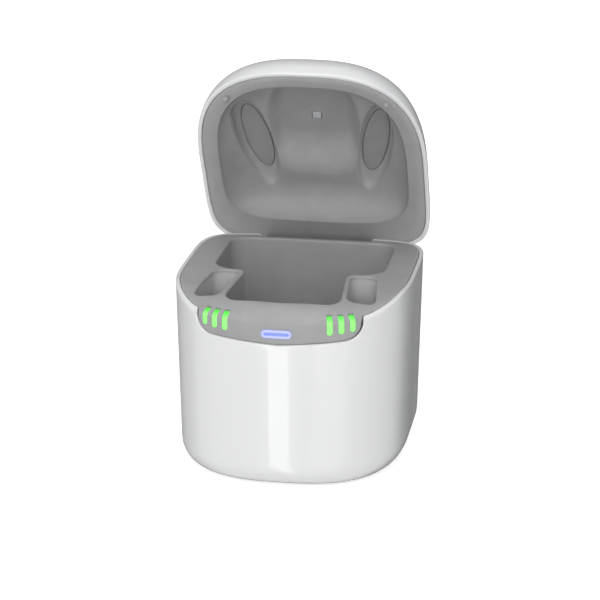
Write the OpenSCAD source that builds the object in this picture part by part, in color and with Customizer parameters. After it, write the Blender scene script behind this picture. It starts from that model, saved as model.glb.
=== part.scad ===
// Hearing aid dryer with an ultraviolet lamp in its lid.
// A white cup holds a grey tray with one deep well and two aid slots, and a domed lid swings
// on a hinge at the back. The drawing shows the lid fully open. Millimetres, +Z up.

/* [Body] */
// Overall width of the cup at its rim
body_w = 78.6; // [74:0.2:84]
// From the outline's centre line to the front face
front_reach = 44; // [41:0.5:48]
// From the outline's centre line to the back face
back_reach = 37.6; // [35:0.5:41]
// Squareness of the rounded front, as a superellipse power
front_power = 2.78; // [2.4:0.02:3.2]
// Squareness of the flatter back, as a superellipse power
back_power = 6.1; // [5:0.1:7]
// Height of the rim above the cup's underside
body_h = 62.5; // [60:0.5:70]
// Wall of the cup and of the lid's outer shell
wall = 1.4; // [1.2:0.1:2]
// Thickness of the cup's floor
floor_t = 3; // [2.6:0.1:4]
// How far each side leans in from rim to floor
draft = 1.2; // [0.6:0.1:2]
// Radius of the cup's bottom edge
bottom_r = 8; // [5:0.5:10]
// How far the front of the deck and rim dips below the back
front_dip = 4.4; // [3:0.2:5]
// Width of the strip over which the deck dips
dip_run = 12; // [9:0.5:14]

/* [Scoop] */
// From the cup's side to the edge of the grey front panel, at its top
scoop_side = 11.9; // [10.5:0.1:14]
// Depth of the panel below the rim, at its middle
scoop_drop = 12.6; // [11.5:0.1:14]
// Rise of the panel's lower edge from its middle to its corners
scoop_rise = 2; // [1:0.1:3]
// Corner radius of the panel
scoop_r = 5.5; // [3:0.5:6]

/* [Tray] */
// Clearance between the tray and the cup
tray_gap = 0.12; // [0.1:0.01:0.2]
// Thickness of the deck
deck_t = 2.2; // [1.8:0.1:2.6]
// Depth of the tray's outer skirt below the rim
skirt_h = 16; // [14.5:0.5:18]
// Thickness of the skirt and of the walls of the well and slots
tray_wall = 1.2; // [1:0.1:1.4]
// From the cup's side to the side wall of the well's wide rear part
well_side = 9.7; // [9.3:0.1:11]
// From the cup's back to the well's back wall
well_behind = 6.2; // [6:0.1:7.5]
// From the cup's front to the well's front wall
well_ahead = 5.8; // [5.6:0.1:8]
// Height of the well's floor above the cup's underside
well_above = 28.5; // [28:0.5:31]
// Depth of the aid slots below the rim
slot_depth = 20; // [16:0.5:24]
// From the cup's front to the front end of the aid slots
slot_ahead = 11.6; // [11.4:0.1:15]
// From the cup's side to the outer wall of the aid slots
slot_side = 9.3; // [9.1:0.1:10.5]
// Back edge of the aid slots, ahead of the outline's centre line
slot_back = 7; // [6.6:0.1:8]
// Width of the aid slots
slot_w = 10; // [8.5:0.1:10.4]

/* [Hinge] */
// Hinge axis ahead of the cup's back face
hinge_in = 0.85; // [0.6:0.05:1.2]
// Hinge axis below the rim
hinge_drop = 12; // [11:0.1:13]
// From the cup's side to the end of the lid's hinge block
hinge_side = 20.1; // [17:0.1:23]
// Radius of the hinge barrel
barrel_r = 3.9; // [3.5:0.1:4.2]
// Radius of the hinge pin
pin_r = 1.25; // [1:0.05:1.4]
// Width of each lug on the cup
lug_w = 4.6; // [3.5:0.1:6]
// Angle between the closed lid and the open lid
lid_open = 60; // [50:1:75]

/* [Lid] */
// Height of the lid's dome above its rim
lid_h = 19; // [18.6:0.1:22]
// How far the dome curves in from its rim
dome_run = 18; // [15:0.5:20]
// Gap between the closed lid's rim and the cup's rim
seam_gap = 0.4; // [0.3:0.05:0.6]
// From the lid's side to the mouth of its bowl
bowl_side = 7.1; // [6.7:0.1:8.5]
// From the lid's back to the mouth of its bowl
bowl_behind = 12.3; // [11.6:0.1:14]
// From the lid's front to the mouth of its bowl
bowl_ahead = 6.2; // [5.8:0.1:8]
// Depth of the bowl's shoulders
shoulder_depth = 9.4; // [8.5:0.1:10]
// Depth of the bowl's middle
bowl_depth = 15.5; // [14:0.1:15.6]
// Thickness of the lid's liner
liner_t = 1.2; // [1:0.1:1.4]
// Length of the oval pads in the lid
pad_len = 28.8; // [25:0.2:30]
// Width of the oval pads in the lid
pad_w = 9.4; // [8:0.1:10]
// From the lid's side to the middle of each pad
pad_side = 18.6; // [18.1:0.1:19.3]
// Side of the square lamp window
window_w = 2.9; // [2.4:0.1:3.6]
// From the bowl's front edge to the middle of the lamp window
window_in = 26.5; // [24:0.5:28]

/* [Controls] */
// Length of the pill-shaped button
button_w = 10; // [8:0.2:12]
// Height of the button
button_h = 3.3; // [2.8:0.1:3.6]
// Travel of the button
button_travel = 0.5; // [0.3:0.05:0.6]
// Button's middle below the rim
button_drop = 8.8; // [8.4:0.1:9]
// Width of each status light bar
bar_w = 1.9; // [1.5:0.1:2.2]
// Sideways places of the status light bars, from the inner wall of the aid slot
bar_from_slot = [-2.3, 1.3, 4.7];

/* [Works] */
// Side of the square fan
fan_w = 30; // [25:1:32]
// Thickness of the fan
fan_t = 8; // [7:0.5:8.5]
// Thickness of the finned heater
heater_t = 5.6; // [4.5:0.1:5.8]
// Underside of the main board above the table
board_z = 9.4; // [9:0.1:9.6]
// Height of the rubber feet
foot_h = 1; // [0.8:0.1:1.4]

/* [Hidden] */

$fn = 48;
STEPS = 64;        // points round the outline
half_w = body_w / 2;
rim_z = foot_h + body_h;
hair = 0.15;       // gap between pieces that lie against each other
touch = 0.05;      // gap left where one piece rests on another
pin_gap = 0.04;    // running clearance of the hinge pin and the rotor's shaft
over = 1;          // how far cutters run past a face
skirt_in = wall + tray_gap;
skirt_inner = skirt_in + tray_wall;

// Places that follow the cup's size
scoop_half = half_w - scoop_side;
well_half = half_w - well_side;
well_back = back_reach - well_behind;
well_front = front_reach - well_ahead;
slot_taper = 0.7;  // how far the slots' outer wall leans out towards the front
slot_in = half_w - slot_side - slot_taper - slot_w;
slot_len = front_reach - slot_ahead - slot_back;
neck_half = slot_in - tray_wall;
hinge_y = back_reach - hinge_in;
hinge_half = half_w - hinge_side;
bowl_half = half_w - bowl_side;
bowl_back = back_reach - bowl_behind;
bowl_front = front_reach - bowl_ahead;
pad_x = half_w - pad_side;
bar_x = [for (step = bar_from_slot) slot_in + step];
well_depth = body_h - well_above;

// The dome's rearmost point when the lid stands open sets the origin under the middle of the
// whole outline.
function open_y(y, h) = hinge_y + (y - hinge_y) * cos(lid_open) + (h + hinge_drop) * sin(lid_open);
dome_back = max([for (t = [0:5:90])
    open_y(back_reach - dome_run * (1 - cos(t)), seam_gap + lid_h * sin(t))]);
centre_y = (front_reach - dome_back) / 2;

// Outline of the cup, drawn inwards by s: a boxy half behind and a rounder half in front
function pow_sign(v, p) = (v < 0 ? -1 : 1) * pow(abs(v), p);
function egg(a, back, front, pb, pf, t) =
    let (p = sin(t) >= 0 ? pb : pf, b = sin(t) >= 0 ? back : front)
    [a * pow_sign(cos(t), 2 / p), b * pow_sign(sin(t), 2 / p)];
function edge(s, t) = egg(half_w - s, back_reach - s, front_reach - s, back_power, front_power, t);
angles = [for (i = [0:STEPS - 1]) i * 360 / STEPS];
// Inner forms take the points halfway between those of the outside
inner_angles = [for (t = angles) t + 180 / STEPS];
function outline(s) = [for (t = inner_angles) edge(s, t)];

// Share of the front dip that a point of the outline has
dip_start = front_reach - 25;
dip_full = front_reach - 7;
function dip_share(y) = pow(min(1, max(0, (-y - dip_start) / (dip_full - dip_start))), 1.3);
function edge_round(k) = 0.5 + 0.6 * k;
function dip(s, k) = front_dip * k * pow(max(0, 1 - s / dip_run), 2);
// Height below the rim of the deck's surface at an inset from the outline
function deck_level(s, k) =
    let (r = edge_round(k), u = max(0, 1 - s / r)) -dip(s, k) - r * (1 - sqrt(1 - u * u));

// Solid through rings of equal length, closed by its first and last ring
module loft(rings) {
    n = len(rings[0]);
    m = len(rings);
    points = [for (r = rings) each r];
    sides = [for (j = [0:m - 2], i = [0:n - 1])
        let (a = j * n + i, b = j * n + (i + 1) % n)
        each [[a, a + n, b], [b, a + n, b + n]]];
    polyhedron(points, concat(sides, [[for (i = [0:n - 1]) i]],
        [[for (i = [n - 1:-1:0]) (m - 1) * n + i]]), convexity = 6);
}

// The cup's whole outer form, from its rounded bottom edge to the dipping deck
module body_form() {
    bottom = [for (a = [90:-22.5:0])
        [for (t = angles) let (p = edge(draft + bottom_r * (1 - cos(a)), t))
            [p[0], p[1], foot_h + bottom_r * (1 - sin(a))]]];
    turn = [for (a = [90:-30:0])
        [for (t = angles)
            let (k = dip_share(edge(0, t)[1]), s = edge_round(k) * (1 - sin(a)), p = edge(s, t))
            [p[0], p[1], rim_z + deck_level(s, k)]]];
    top = [for (s = [0.2, 0.35, 0.55, 0.75, 1] * dip_run)
        [for (t = angles)
            let (k = dip_share(edge(0, t)[1]), p = edge(s, t))
            [p[0], p[1], rim_z + deck_level(s, k)]]];
    loft(concat(bottom, turn, top));
}

module prism(s, z0, z1) translate([0, 0, z0]) linear_extrude(z1 - z0) polygon(outline(s));

// The grey front panel's outline, seen from the front, drawn inwards by g
module scoop_shape(g) offset(r = scoop_r - g) offset(delta = -scoop_r)
    polygon([[-scoop_half, over + 8], [scoop_half, over + 8],
        [scoop_half - 0.8, scoop_rise - scoop_drop], [0, -scoop_drop],
        [0.8 - scoop_half, scoop_rise - scoop_drop]]);
module scoop(g) translate([0, -dip_start, rim_z]) rotate([90, 0, 0])
    linear_extrude(front_reach) scoop_shape(g);

module along_x(x0, x1, r) translate([x0, hinge_y, rim_z - hinge_drop]) rotate([0, 90, 0])
    cylinder(r = r, h = x1 - x0);
module sides() for (side = [-1, 1]) scale_x(side) children();
module scale_x(side) if (side < 0) mirror([1, 0, 0]) children(); else children();

// Bottom cover, its screws, feet and the board above it
cover_in = 11;
cover_t = 1.6;
cover_z = foot_h;
opening_in = 15;
cover_screw_r = 1.1;
screw_head_r = 2;
boss_r = 2.6;
boss_h = 6;
cover_screw_len = 5.8;
cover_screws_at = [for (t = [38, 142, 250, 290]) edge(draft + (cover_in + opening_in) / 2, t)];
post_r = 2.4;
post_at = [for (t = [40, 140, 218, 322]) edge(draft + opening_in + post_r + over, t)];
board_screw_r = 0.9;
board_screw_len = 5;
board_t = 1.6;
foot_r = 4;
foot_sink = 0.6;
feet_at = [for (t = [68, 112, 232, 308]) edge(draft + cover_in + foot_r + over, t)];
board_half = half_w - 15.3;
board_front = front_reach - 23.5;

// Slots of the air intake under the fan
intake_pitch = 4;
intake_len = 22;

// Power inlet on the back edge of the main board
inlet_w = 9;
inlet_t = 3.2;
inlet_len = 7.4;
inlet_z = board_z + board_t + touch;
inlet_back = back_reach - draft - 0.3;
module inlet_shape(grow) offset(r = grow) hull() for (x = [-1, 1])
    translate([x * (inlet_w - inlet_t) / 2, 0]) circle(d = inlet_t, $fn = 24);
module inlet_bar(grow, y0, y1) translate([0, y1, inlet_z + inlet_t / 2]) rotate([90, 0, 0])
    linear_extrude(y1 - y0) inlet_shape(grow);

rib_w = 1.6;
rib_angles = [28, 152, 205, 335, 243, 297];
lean = atan(draft / (body_h - bottom_r));

notch_half = hinge_half + 0.3;
notch_floor = barrel_r + 1.2;
lug_x0 = notch_half;
lug_x1 = notch_half + lug_w;

module base_shell() color("white") difference() {
    union() {
        difference() {
            body_form();
            // inside of the cup
            loft(concat([for (a = [0:30:90])
                [for (t = inner_angles) let (r = bottom_r - wall,
                    p = edge(draft + wall + r * (1 - sin(a)), t))
                    [p[0], p[1], foot_h + floor_t + r * (1 - cos(a))]]],
                [for (z = [[rim_z - skirt_h - 1.5, wall + draft * skirt_h / body_h],
                    [rim_z - skirt_h - 0.3, wall], [rim_z + over, wall]])
                    [for (t = inner_angles) let (p = edge(z[1], t)) [p[0], p[1], z[0]]]]));
            prism(draft + opening_in, 0, foot_h + floor_t + over);
            scoop(0);
            // notch for the lid's hinge block
            translate([-notch_half, well_back + tray_wall, rim_z - hinge_drop - notch_floor])
                cube([2 * notch_half, 3 * barrel_r, hinge_drop + notch_floor + over]);
        }
        // screw bosses of the bottom cover
        for (p = cover_screws_at) translate([p[0], p[1], foot_h + cover_t + hair])
            cylinder(r = boss_r, h = boss_h);
        // ribs that carry the tray
        for (t = rib_angles) let (p = edge(draft + wall, t), q = edge(draft + bottom_r, t))
            translate([p[0], p[1], foot_h + bottom_r])
            rotate([0, 0, atan2(p[1] - q[1], p[0] - q[0])]) rotate([0, lean, 0])
            translate([-1.6, -rib_w / 2, 0])
            cube([2.1, rib_w, body_h - bottom_r - skirt_h - 2 * hair]);
        // lugs that hold the hinge pin
        sides() along_x(lug_x0, lug_x1, barrel_r);
    }
    // seat of the bottom cover
    prism(draft + cover_in - hair, foot_h - over, foot_h + cover_t);
    for (p = cover_screws_at) translate([p[0], p[1], 0])
        cylinder(r = cover_screw_r - 0.15, h = boss_h);
    along_x(-lug_x1 - over, lug_x1 + over, pin_r);
    inlet_bar(0.35, back_reach - 3, back_reach + 2);
}

module bottom_cover() color("silver") difference() {
    union() {
        prism(draft + cover_in, cover_z, cover_z + cover_t);
        for (p = post_at) translate([p[0], p[1], cover_z + cover_t - 0.5])
            cylinder(r = post_r, h = board_z - cover_z - cover_t + 0.5 - touch);
    }
    for (p = cover_screws_at) translate([p[0], p[1], 0]) {
        cylinder(r = cover_screw_r + 0.15, h = 6);
        translate([0, 0, cover_z - over]) cylinder(r = screw_head_r + 0.15, h = over + 0.9);
    }
    for (p = post_at) translate([p[0], p[1], board_z - 4]) cylinder(r = board_screw_r - 0.1, h = 6);
    for (p = feet_at) translate([p[0], p[1], 0])
        cylinder(r = foot_r + hair, h = cover_z + foot_sink);
    // air intake
    for (i = [-3:3]) translate([(i - 0.25) * intake_pitch, duct_y - intake_len / 2, 0])
        cube([intake_pitch / 2, intake_len, 2 * cover_t + over]);
}

module rubber_feet() color("dimgray") for (p = feet_at) translate([p[0], p[1], 0])
    rotate_extrude() polygon([[0, 0], [foot_r - 0.5, 0], [foot_r, 0.4],
        [foot_r, cover_z + foot_sink - touch], [0, cover_z + foot_sink - touch]]);

module screw_body(r, head_r, length, head_h) {
    cylinder(r = head_r, h = head_h);
    cylinder(r = r, h = length);
}
module cover_screws() color("silver") for (p = cover_screws_at)
    translate([p[0], p[1], cover_z + 0.1]) difference() {
        screw_body(cover_screw_r - 0.15, screw_head_r, cover_screw_len, 0.75);
        for (a = [0, 90]) rotate([0, 0, a]) translate([-1.1, -0.25, -over])
            cube([2.2, 0.5, over + 0.4]);
    }

// Well and slots, seen from above
well_r = 6;
neck_r = 3;
slot_r = 3.4;
step_y = tray_wall + 0.4 - slot_back;
module well_shape(grow) offset(r = grow) offset(r = -neck_r) offset(delta = neck_r)
    offset(r = well_r) offset(delta = -well_r)
    polygon([[-well_half, well_back], [well_half, well_back], [well_half, step_y],
        [neck_half, step_y], [neck_half + 0.8, 1.4 - well_front], [0, -well_front],
        [-neck_half - 0.8, 1.4 - well_front], [-neck_half, step_y], [-well_half, step_y]]);
module slot_shape(grow) offset(r = grow) offset(r = slot_r) offset(delta = -slot_r)
    polygon([[slot_in, -slot_back], [slot_in + slot_w - 1.6, -slot_back],
        [slot_in + slot_w + slot_taper, -slot_back - slot_len],
        [slot_in + 1, -slot_back - slot_len]]);
module stack(z0, z1) translate([0, 0, rim_z + z0]) linear_extrude(z1 - z0, convexity = 6)
    children();

// Chase in the well's front wall behind the button
chase_half = 9;
chase_back = well_front - 4.2;
chase_top = -5;
front_hollow = -5.4;
duct_y = (well_back - well_front) / 2 - 0.6;
duct_in = fan_w / 2 + 0.3;
duct_z = -well_depth - tray_wall;
heater_z = rim_z + duct_z - 0.3 - heater_t;
fan_z = heater_z - touch - fan_t;
hook_t = 1.2;
hook_w = 6;
grille_pitch = 3.2;
grille_len = 22;

// Light bar cutter: runs square to the outline, down the panel and over its rounded edge
function bar_angle(x) =
    let (a = half_w, b = front_reach, n = front_power,
        y = b * pow(1 - pow(x / a, n), 1 / n))
    [y, atan2(pow(y, n - 1) / pow(b, n), pow(x, n - 1) / pow(a, n))];
bar_low = 8.8;     // lower end of the innermost bar, below the rim
bar_drop = [for (x = bar_x) bar_low - 0.035 * (x - bar_x[0]) - 0.12 * pow((x - bar_x[0]) / 3.5, 2)];
module bar(i, grow, deep, z_top) {
    at = bar_angle(bar_x[i]);
    w = bar_w / 2 + grow;
    translate([bar_x[i], -at[0], rim_z]) rotate([0, 0, -at[1]]) {
        translate([-deep, -w, -bar_drop[i] + bar_w / 2])
            cube([deep + 2, 2 * w, z_top + bar_drop[i] - bar_w / 2]);
        translate([-deep, 0, -bar_drop[i] + bar_w / 2]) rotate([0, 90, 0])
            cylinder(r = w, h = deep + 2, $fn = 24);
    }
}
bar_wrap = 3;      // how far in the bars' openings reach over the edge
bar_mouth = 1.3;   // part of each opening that its bar leaves dark
bar_fit = 0.06;    // clearance round each bar
bar_deep = skirt_inner + 2;

module button_shape(grow) offset(r = grow) hull() for (x = [-1, 1])
    translate([x * (button_w - button_h) / 2, 0]) circle(d = button_h, $fn = 32);
module button_prism(grow, y0, y1) translate([0, y1, rim_z - button_drop]) rotate([90, 0, 0])
    linear_extrude(y1 - y0) button_shape(grow);

module deck_tray() color("gray") difference() {
    union() {
        difference() {
            intersection() {
                body_form();
                union() {
                    prism(skirt_in, rim_z - skirt_h, rim_z + over);
                    intersection() {
                        scoop(tray_gap);
                        translate([-half_w, -front_reach - over, rim_z - skirt_h])
                            cube([body_w, front_reach - dip_start - 3, skirt_h + over]);
                    }
                }
            }
            // hollow under the deck
            intersection() {
                prism(skirt_inner, rim_z - skirt_h - over, rim_z - deck_t);
                translate([-half_w, 14 - front_reach, 0])
                    cube([body_w, front_reach + back_reach, rim_z]);
            }
            prism(skirt_inner, rim_z - skirt_h - over, rim_z + front_hollow);
        }
        stack(-well_depth - tray_wall, -2) well_shape(tray_wall);
        sides() stack(-slot_depth - tray_wall, -2) slot_shape(tray_wall);
        // thick wall behind the well for the hinge's recess
        intersection() {
            prism(skirt_in, rim_z - skirt_h, rim_z - 1);
            translate([-notch_half - 1, well_back, 0])
                cube([2 * notch_half + 2, well_behind, rim_z]);
        }
        // duct that holds the heater and the fan
        translate([0, duct_y, fan_z - touch - hook_t])
            linear_extrude(rim_z + duct_z - fan_z + touch + hook_t) difference() {
                square(2 * (duct_in + tray_wall), center = true);
                square(2 * duct_in, center = true);
            }
        // hooks that the fan snaps over
        sides() translate([duct_in - 0.9, duct_y - hook_w / 2, fan_z - touch - hook_t])
            cube([0.9 + tray_wall / 2, hook_w, hook_t]);
    }
    difference() {
        stack(-well_depth, over) well_shape(0);
        translate([-chase_half, -front_reach, 0])
            cube([2 * chase_half, front_reach - chase_back, rim_z + chase_top]);
    }
    translate([tray_wall - chase_half, -front_reach + skirt_inner, 0])
        cube([2 * (chase_half - tray_wall), front_reach - skirt_inner - chase_back - tray_wall,
            rim_z + chase_top - tray_wall]);
    sides() stack(-slot_depth, over) slot_shape(0);
    // air grille in the well's floor
    for (i = [-4:4]) translate([(i - 0.25) * grille_pitch, duct_y - grille_len / 2,
        rim_z + duct_z - over]) cube([grille_pitch / 2, grille_len, tray_wall + 2 * over]);
    // room for the hinge block and for the lugs
    translate([-notch_half, web_front - 0.3, rim_z - hinge_drop])
        cube([2 * notch_half, 20, hinge_drop + over]);
    along_x(-lug_x1 - 0.3, lug_x1 + 0.3, barrel_r + 0.3);
    for (i = [0:len(bar_x) - 1]) sides() {
        bar(i, bar_fit, bar_wrap, over);
        bar(i, bar_fit, bar_deep, front_hollow);
    }
    button_prism(0.12, -front_reach - 2, -front_reach + skirt_inner + over);
}

// Upright band inside the tray's skirt, between two distances from it, down to a depth
module band(near, far, drop) difference() {
    prism(skirt_inner + near, rim_z - drop, rim_z + front_hollow - 0.2);
    prism(skirt_inner + far, rim_z - drop - over, rim_z);
}

// One comb of three bars joined by a strip behind the panel
module light_guide() intersection() {
    body_form();
    union() {
        for (i = [0:len(bar_x) - 1]) {
            bar(i, 0, bar_wrap - bar_mouth, over);
            difference() {
                bar(i, 0, bar_deep, front_hollow - 0.1);
                prism(skirt_inner + 0.8, 0, rim_z);
            }
        }
        intersection() {
            band(0.2, 0.8, 8);
            translate([bar_x[0], -front_reach, 0])
                cube([bar_x[2] - bar_x[0], front_reach, rim_z]);
        }
    }
}
module left_light_guide() color("limegreen") scale_x(-1) light_guide();
module right_light_guide() color("limegreen") light_guide();

led_w = 1.6;
led_h = 0.9;
led_drop = 7.4;
module status_leds() color("white") sides() intersection() {
    band(0.85, 1.3, led_drop + over);
    for (i = [0:len(bar_x) - 1]) let (at = bar_angle(bar_x[i]))
        translate([bar_x[i], -at[0], rim_z - led_drop]) rotate([0, 0, -at[1]])
        translate([-2 * skirt_inner, -led_w / 2, 0]) cube([2 * skirt_inner, led_w, led_h]);
}
module status_light_boards() color("green") sides() intersection() {
    band(1.35, 1.75, led_drop + 2);
    translate([bar_x[0] - led_w / 2, -front_reach, 0])
        cube([bar_x[2] - bar_x[0] + led_w / 2 + 0.4, slot_ahead - tray_wall - 0.1, rim_z]);
}

button_proud = 0.3;
flange_t = 0.75;
button_face = -front_reach - button_proud;
flange_y = -front_reach + skirt_inner + hair;
module power_button() color("lavender") difference() {
    union() {
        button_prism(0, button_face, flange_y);
        button_prism(0.9, flange_y, flange_y + flange_t);
    }
    button_prism(-0.95, button_face - over, button_face + 0.9);
}
module button_light_bar() color("royalblue")
    button_prism(-1, button_face + 0.1, button_face + 0.85);
switch_y = flange_y + flange_t + button_travel + hair;
switch_w = 4.4;
switch_t = 1.6;
switch_board_w = 13.2;
switch_board_h = 6.8;
module button_switch() color("black") {
    translate([0, switch_y + 0.8, rim_z - button_drop]) rotate([90, 0, 0])
        cylinder(r = 0.9, h = 0.8);
    translate([-switch_w / 2, switch_y + 0.6, rim_z - button_drop - switch_w * 0.4])
        cube([switch_w, switch_t, switch_w * 0.8]);
}
module switch_board() color("green")
    translate([-switch_board_w / 2, switch_y + 0.6 + switch_t + touch,
        rim_z - button_drop - 4.5]) cube([switch_board_w, 0.8, switch_board_h]);

coil_t = 1.6;
coil_w = 2.4;
module charging_coil() translate([0, 0, rim_z - slot_depth - tray_wall - touch - coil_t])
    linear_extrude(coil_t) difference() {
        slot_shape(-0.2);
        slot_shape(-0.2 - coil_w);
    }
module left_charging_coil() color("peru") scale_x(-1) charging_coil();
module right_charging_coil() color("peru") charging_coil();

fin_pitch = 2.5;
fin_gap = 1.4;
module heater() color("silver") translate([0, duct_y, heater_z]) difference() {
    translate([-fan_w / 2, -fan_w / 2, 0]) cube([fan_w, fan_w, heater_t]);
    for (i = [-5:5]) translate([i * fin_pitch - fin_gap / 2, 2 - fan_w / 2, -over])
        cube([fin_gap, fan_w - 4, heater_t + 2 * over]);
}

fan_bore = fan_w / 2 - 1.2;
hub_r = 6;
module fan_frame() color("black") translate([0, duct_y, fan_z]) {
    difference() {
        translate([-fan_w / 2, -fan_w / 2, 0]) cube([fan_w, fan_w, fan_t]);
        translate([0, 0, -over]) cylinder(r = fan_bore, h = fan_t + 2 * over);
        for (x = [-1, 1], y = [-1, 1]) translate([x * (fan_w / 2 - 2.4), y * (fan_w / 2 - 2.4), -over])
            cylinder(r = 1.1, h = fan_t + 2 * over, $fn = 24);
    }
    difference() {
        union() {
            cylinder(r = hub_r - 0.4, h = 1.4);
            for (a = [45:90:315]) rotate([0, 0, a]) translate([0, -0.8, 0])
                cube([fan_bore + 1, 1.6, 1.2]);
            cylinder(r = 1.8, h = 3);
        }
        translate([0, 0, -over]) cylinder(r = 0.75 + pin_gap, h = 6);
    }
}
module fan_rotor() color("dimgray") translate([0, duct_y, fan_z]) {
    difference() {
        translate([0, 0, 1.8]) cylinder(r = hub_r, h = fan_t - 2.3);
        translate([0, 0, 1]) cylinder(r = hub_r - 0.8, h = fan_t - 3);
    }
    translate([0, 0, 0.2]) cylinder(r = 0.75, h = fan_t - 1.5);
    for (a = [0:360 / 7:359]) rotate([0, 0, a]) translate([hub_r - 0.5, 0, 4.6])
        rotate([38, 0, 0]) translate([0, -2.6, -0.4]) cube([fan_bore - hub_r - 0.4, 5.2, 0.8]);
}

board_hole_r = 11;
module main_board() color("green") difference() {
    translate([-board_half, -board_front, board_z])
        cube([2 * board_half, board_front + inlet_back - 2.4, board_t]);
    for (p = post_at) translate([p[0], p[1], board_z - over])
        cylinder(r = board_screw_r + 0.2, h = board_t + 2 * over);
    // air passes the board here on its way to the fan
    translate([0, duct_y, board_z - over]) cylinder(r = board_hole_r, h = board_t + 2 * over);
}
chip_w = 5;
capacitor_r = 2.5;
capacitor_h = 4;
module board_chips() color("black") {
    for (x = [chip_w / 2 - board_half, board_half - 1.5 * chip_w])
        translate([x, duct_y + chip_w, board_z + board_t]) cube([chip_w, chip_w, 1]);
    translate([-1.6 * chip_w, duct_y + board_hole_r + 0.8 * chip_w, board_z + board_t])
        cube([2 * chip_w, 1.2 * chip_w, 1]);
    translate([1.2 * chip_w, duct_y + board_hole_r + 0.8 * chip_w, board_z + board_t])
        cube([0.8 * chip_w, 0.8 * chip_w, 1]);
    sides() translate([board_half - 3.2 * capacitor_r, inlet_back - 3.6 * capacitor_r,
        board_z + board_t]) cylinder(r = capacitor_r, h = capacitor_h);
}
module board_screws() color("silver") for (p = post_at)
    translate([p[0], p[1], board_z + board_t + 1]) mirror([0, 0, 1])
        screw_body(board_screw_r - 0.1, 1.7, board_screw_len, 0.95);
module power_inlet() color("silver") {
    difference() {
        inlet_bar(0, inlet_back - inlet_len, inlet_back);
        inlet_bar(-0.35, inlet_back - inlet_len + 1.5, inlet_back + over);
    }
    translate([-3.3, inlet_back - inlet_len + 1, inlet_z + inlet_t / 2 - 0.35])
        cube([6.6, inlet_len - 1.8, 0.7]);
}

magnet_r = 1.4;
magnet_t = 2;
magnet_x = half_w - skirt_inner - magnet_r - hair;
magnet_y = -4;
module catch_magnets() color("silver") sides()
    translate([magnet_x, magnet_y, rim_z - deck_t - touch - magnet_t])
    cylinder(r = magnet_r, h = magnet_t);

bushing_len = 6;
bushing_t = 0.75;
module hinge_pin() color("silver") along_x(0.4 - lug_x1, lug_x1 - 0.4, pin_r);
module hinge_bushings() color("peru") sides() difference() {
    along_x(hinge_half - bushing_len, hinge_half, pin_r + pin_gap + bushing_t);
    along_x(hinge_half - bushing_len - over, hinge_half + over, pin_r + pin_gap);
}

// The lid is drawn closed, then swung open on its hinge
module opened() translate([0, hinge_y, rim_z - hinge_drop]) rotate([-lid_open, 0, 0])
    translate([0, -hinge_y, hinge_drop - rim_z]) children();
module lifted() translate([0, 0, rim_z]) children();

module dome(s, h0, rise, run) loft([for (a = [0, 6, each [15:15:90]])
    [for (t = angles) let (p = edge(s + run * (1 - cos(a)), t)) [p[0], p[1], h0 + rise * sin(a)]]]);

// The hinge block: a web flush with the back wall, a barrel, and a heel that meets the notch's
// floor when the lid is fully open
web_front = hinge_y - 2.45;
web_back = back_reach - 0.15;
heel_reach = notch_floor - 0.3;
heel_t = 2;
module lid_shell() color("white") opened() lifted() difference() {
    dome(0, seam_gap, lid_h, dome_run);
    translate([0, 0, -0.01]) dome(wall, seam_gap, lid_h - wall, dome_run);
    translate([-notch_half, web_front, seam_gap - over])
        cube([2 * notch_half, 3 * barrel_r, over + liner_t + hair]);
}

// Both hollows of the liner narrow with depth: by a straight slope, then by a rounded floor.
// Each share f of the depth has its half width, back and front.
function floor_turn(f) = 1 - sqrt(1 - f * f);
function narrowed(reach, straight, turned, f) = reach - straight * f - turned * floor_turn(f);
function bowl_ring(f, grow, t) = egg(narrowed(bowl_half, 3.2, 10, f) + grow,
    narrowed(bowl_back, 2.8, 8, f) + grow, narrowed(bowl_front, 1.8, 6, f) + grow, 4.3, 2.9, t);
module bowl(grow) loft([for (f = [0, 0.28, 0.54, 0.76, 0.92, 1])
    [for (t = angles) let (p = bowl_ring(f, grow, t))
        [p[0], p[1], seam_gap + (grow == 0 ? -0.01 : liner_t) + f * (shoulder_depth - seam_gap)]]]);
middle_top = 0.45; // share of the bowl's depth at which the deeper middle begins
function middle_ring(g, grow, t) = egg(bowl_half * narrowed(0.543, 0.068, 0.134, g) + grow,
    bowl_back * narrowed(0.672, 0.356, 0.257, g) + grow,
    bowl_front * narrowed(0.873, 0.032, 0.087, g) + grow, 3, 3, t);
module middle(grow) loft([for (g = [0, 0.38, 0.64, 0.86, 1])
    [for (t = angles) let (p = middle_ring(g, grow, t))
        [p[0], p[1], (middle_top + (1 - middle_top) * g) * (bowl_depth + grow)]]]);

// Pocket over each aid: an oval floor that leans outwards, and flared walls
pad_y = (bowl_back - bowl_front) / 2 + 1.95;
pad_turn = 8.4;
pad_lean = 9;
pad_depth = 12;
pad_t = 1;
module at_pad() translate([pad_x, pad_y, pad_depth]) rotate([0, pad_lean, 0])
    rotate([0, 0, pad_turn]) children();
function oval(a, b, x, y, z) = [for (t = [0:10:350]) [x + a * cos(t), y + b * sin(t), z]];
pocket_rise = 9;   // height over which the pocket's wall flares out
flare = [3.4, 3.6];         // how much wider and longer its mouth is
mouth_shift = [1.4, 3.2];   // how far its mouth leans outwards and backwards
module pocket(grow) at_pad() loft([for (h = [1, 0.55, 0.22, 0] * pocket_rise)
    let (u = pow(h / pocket_rise, 1.25))
    oval(pad_w / 2 + flare[0] * u + grow, pad_len / 2 + flare[1] * u + grow,
        mouth_shift[0] * u, mouth_shift[1] * u, grow - h)]);

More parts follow.
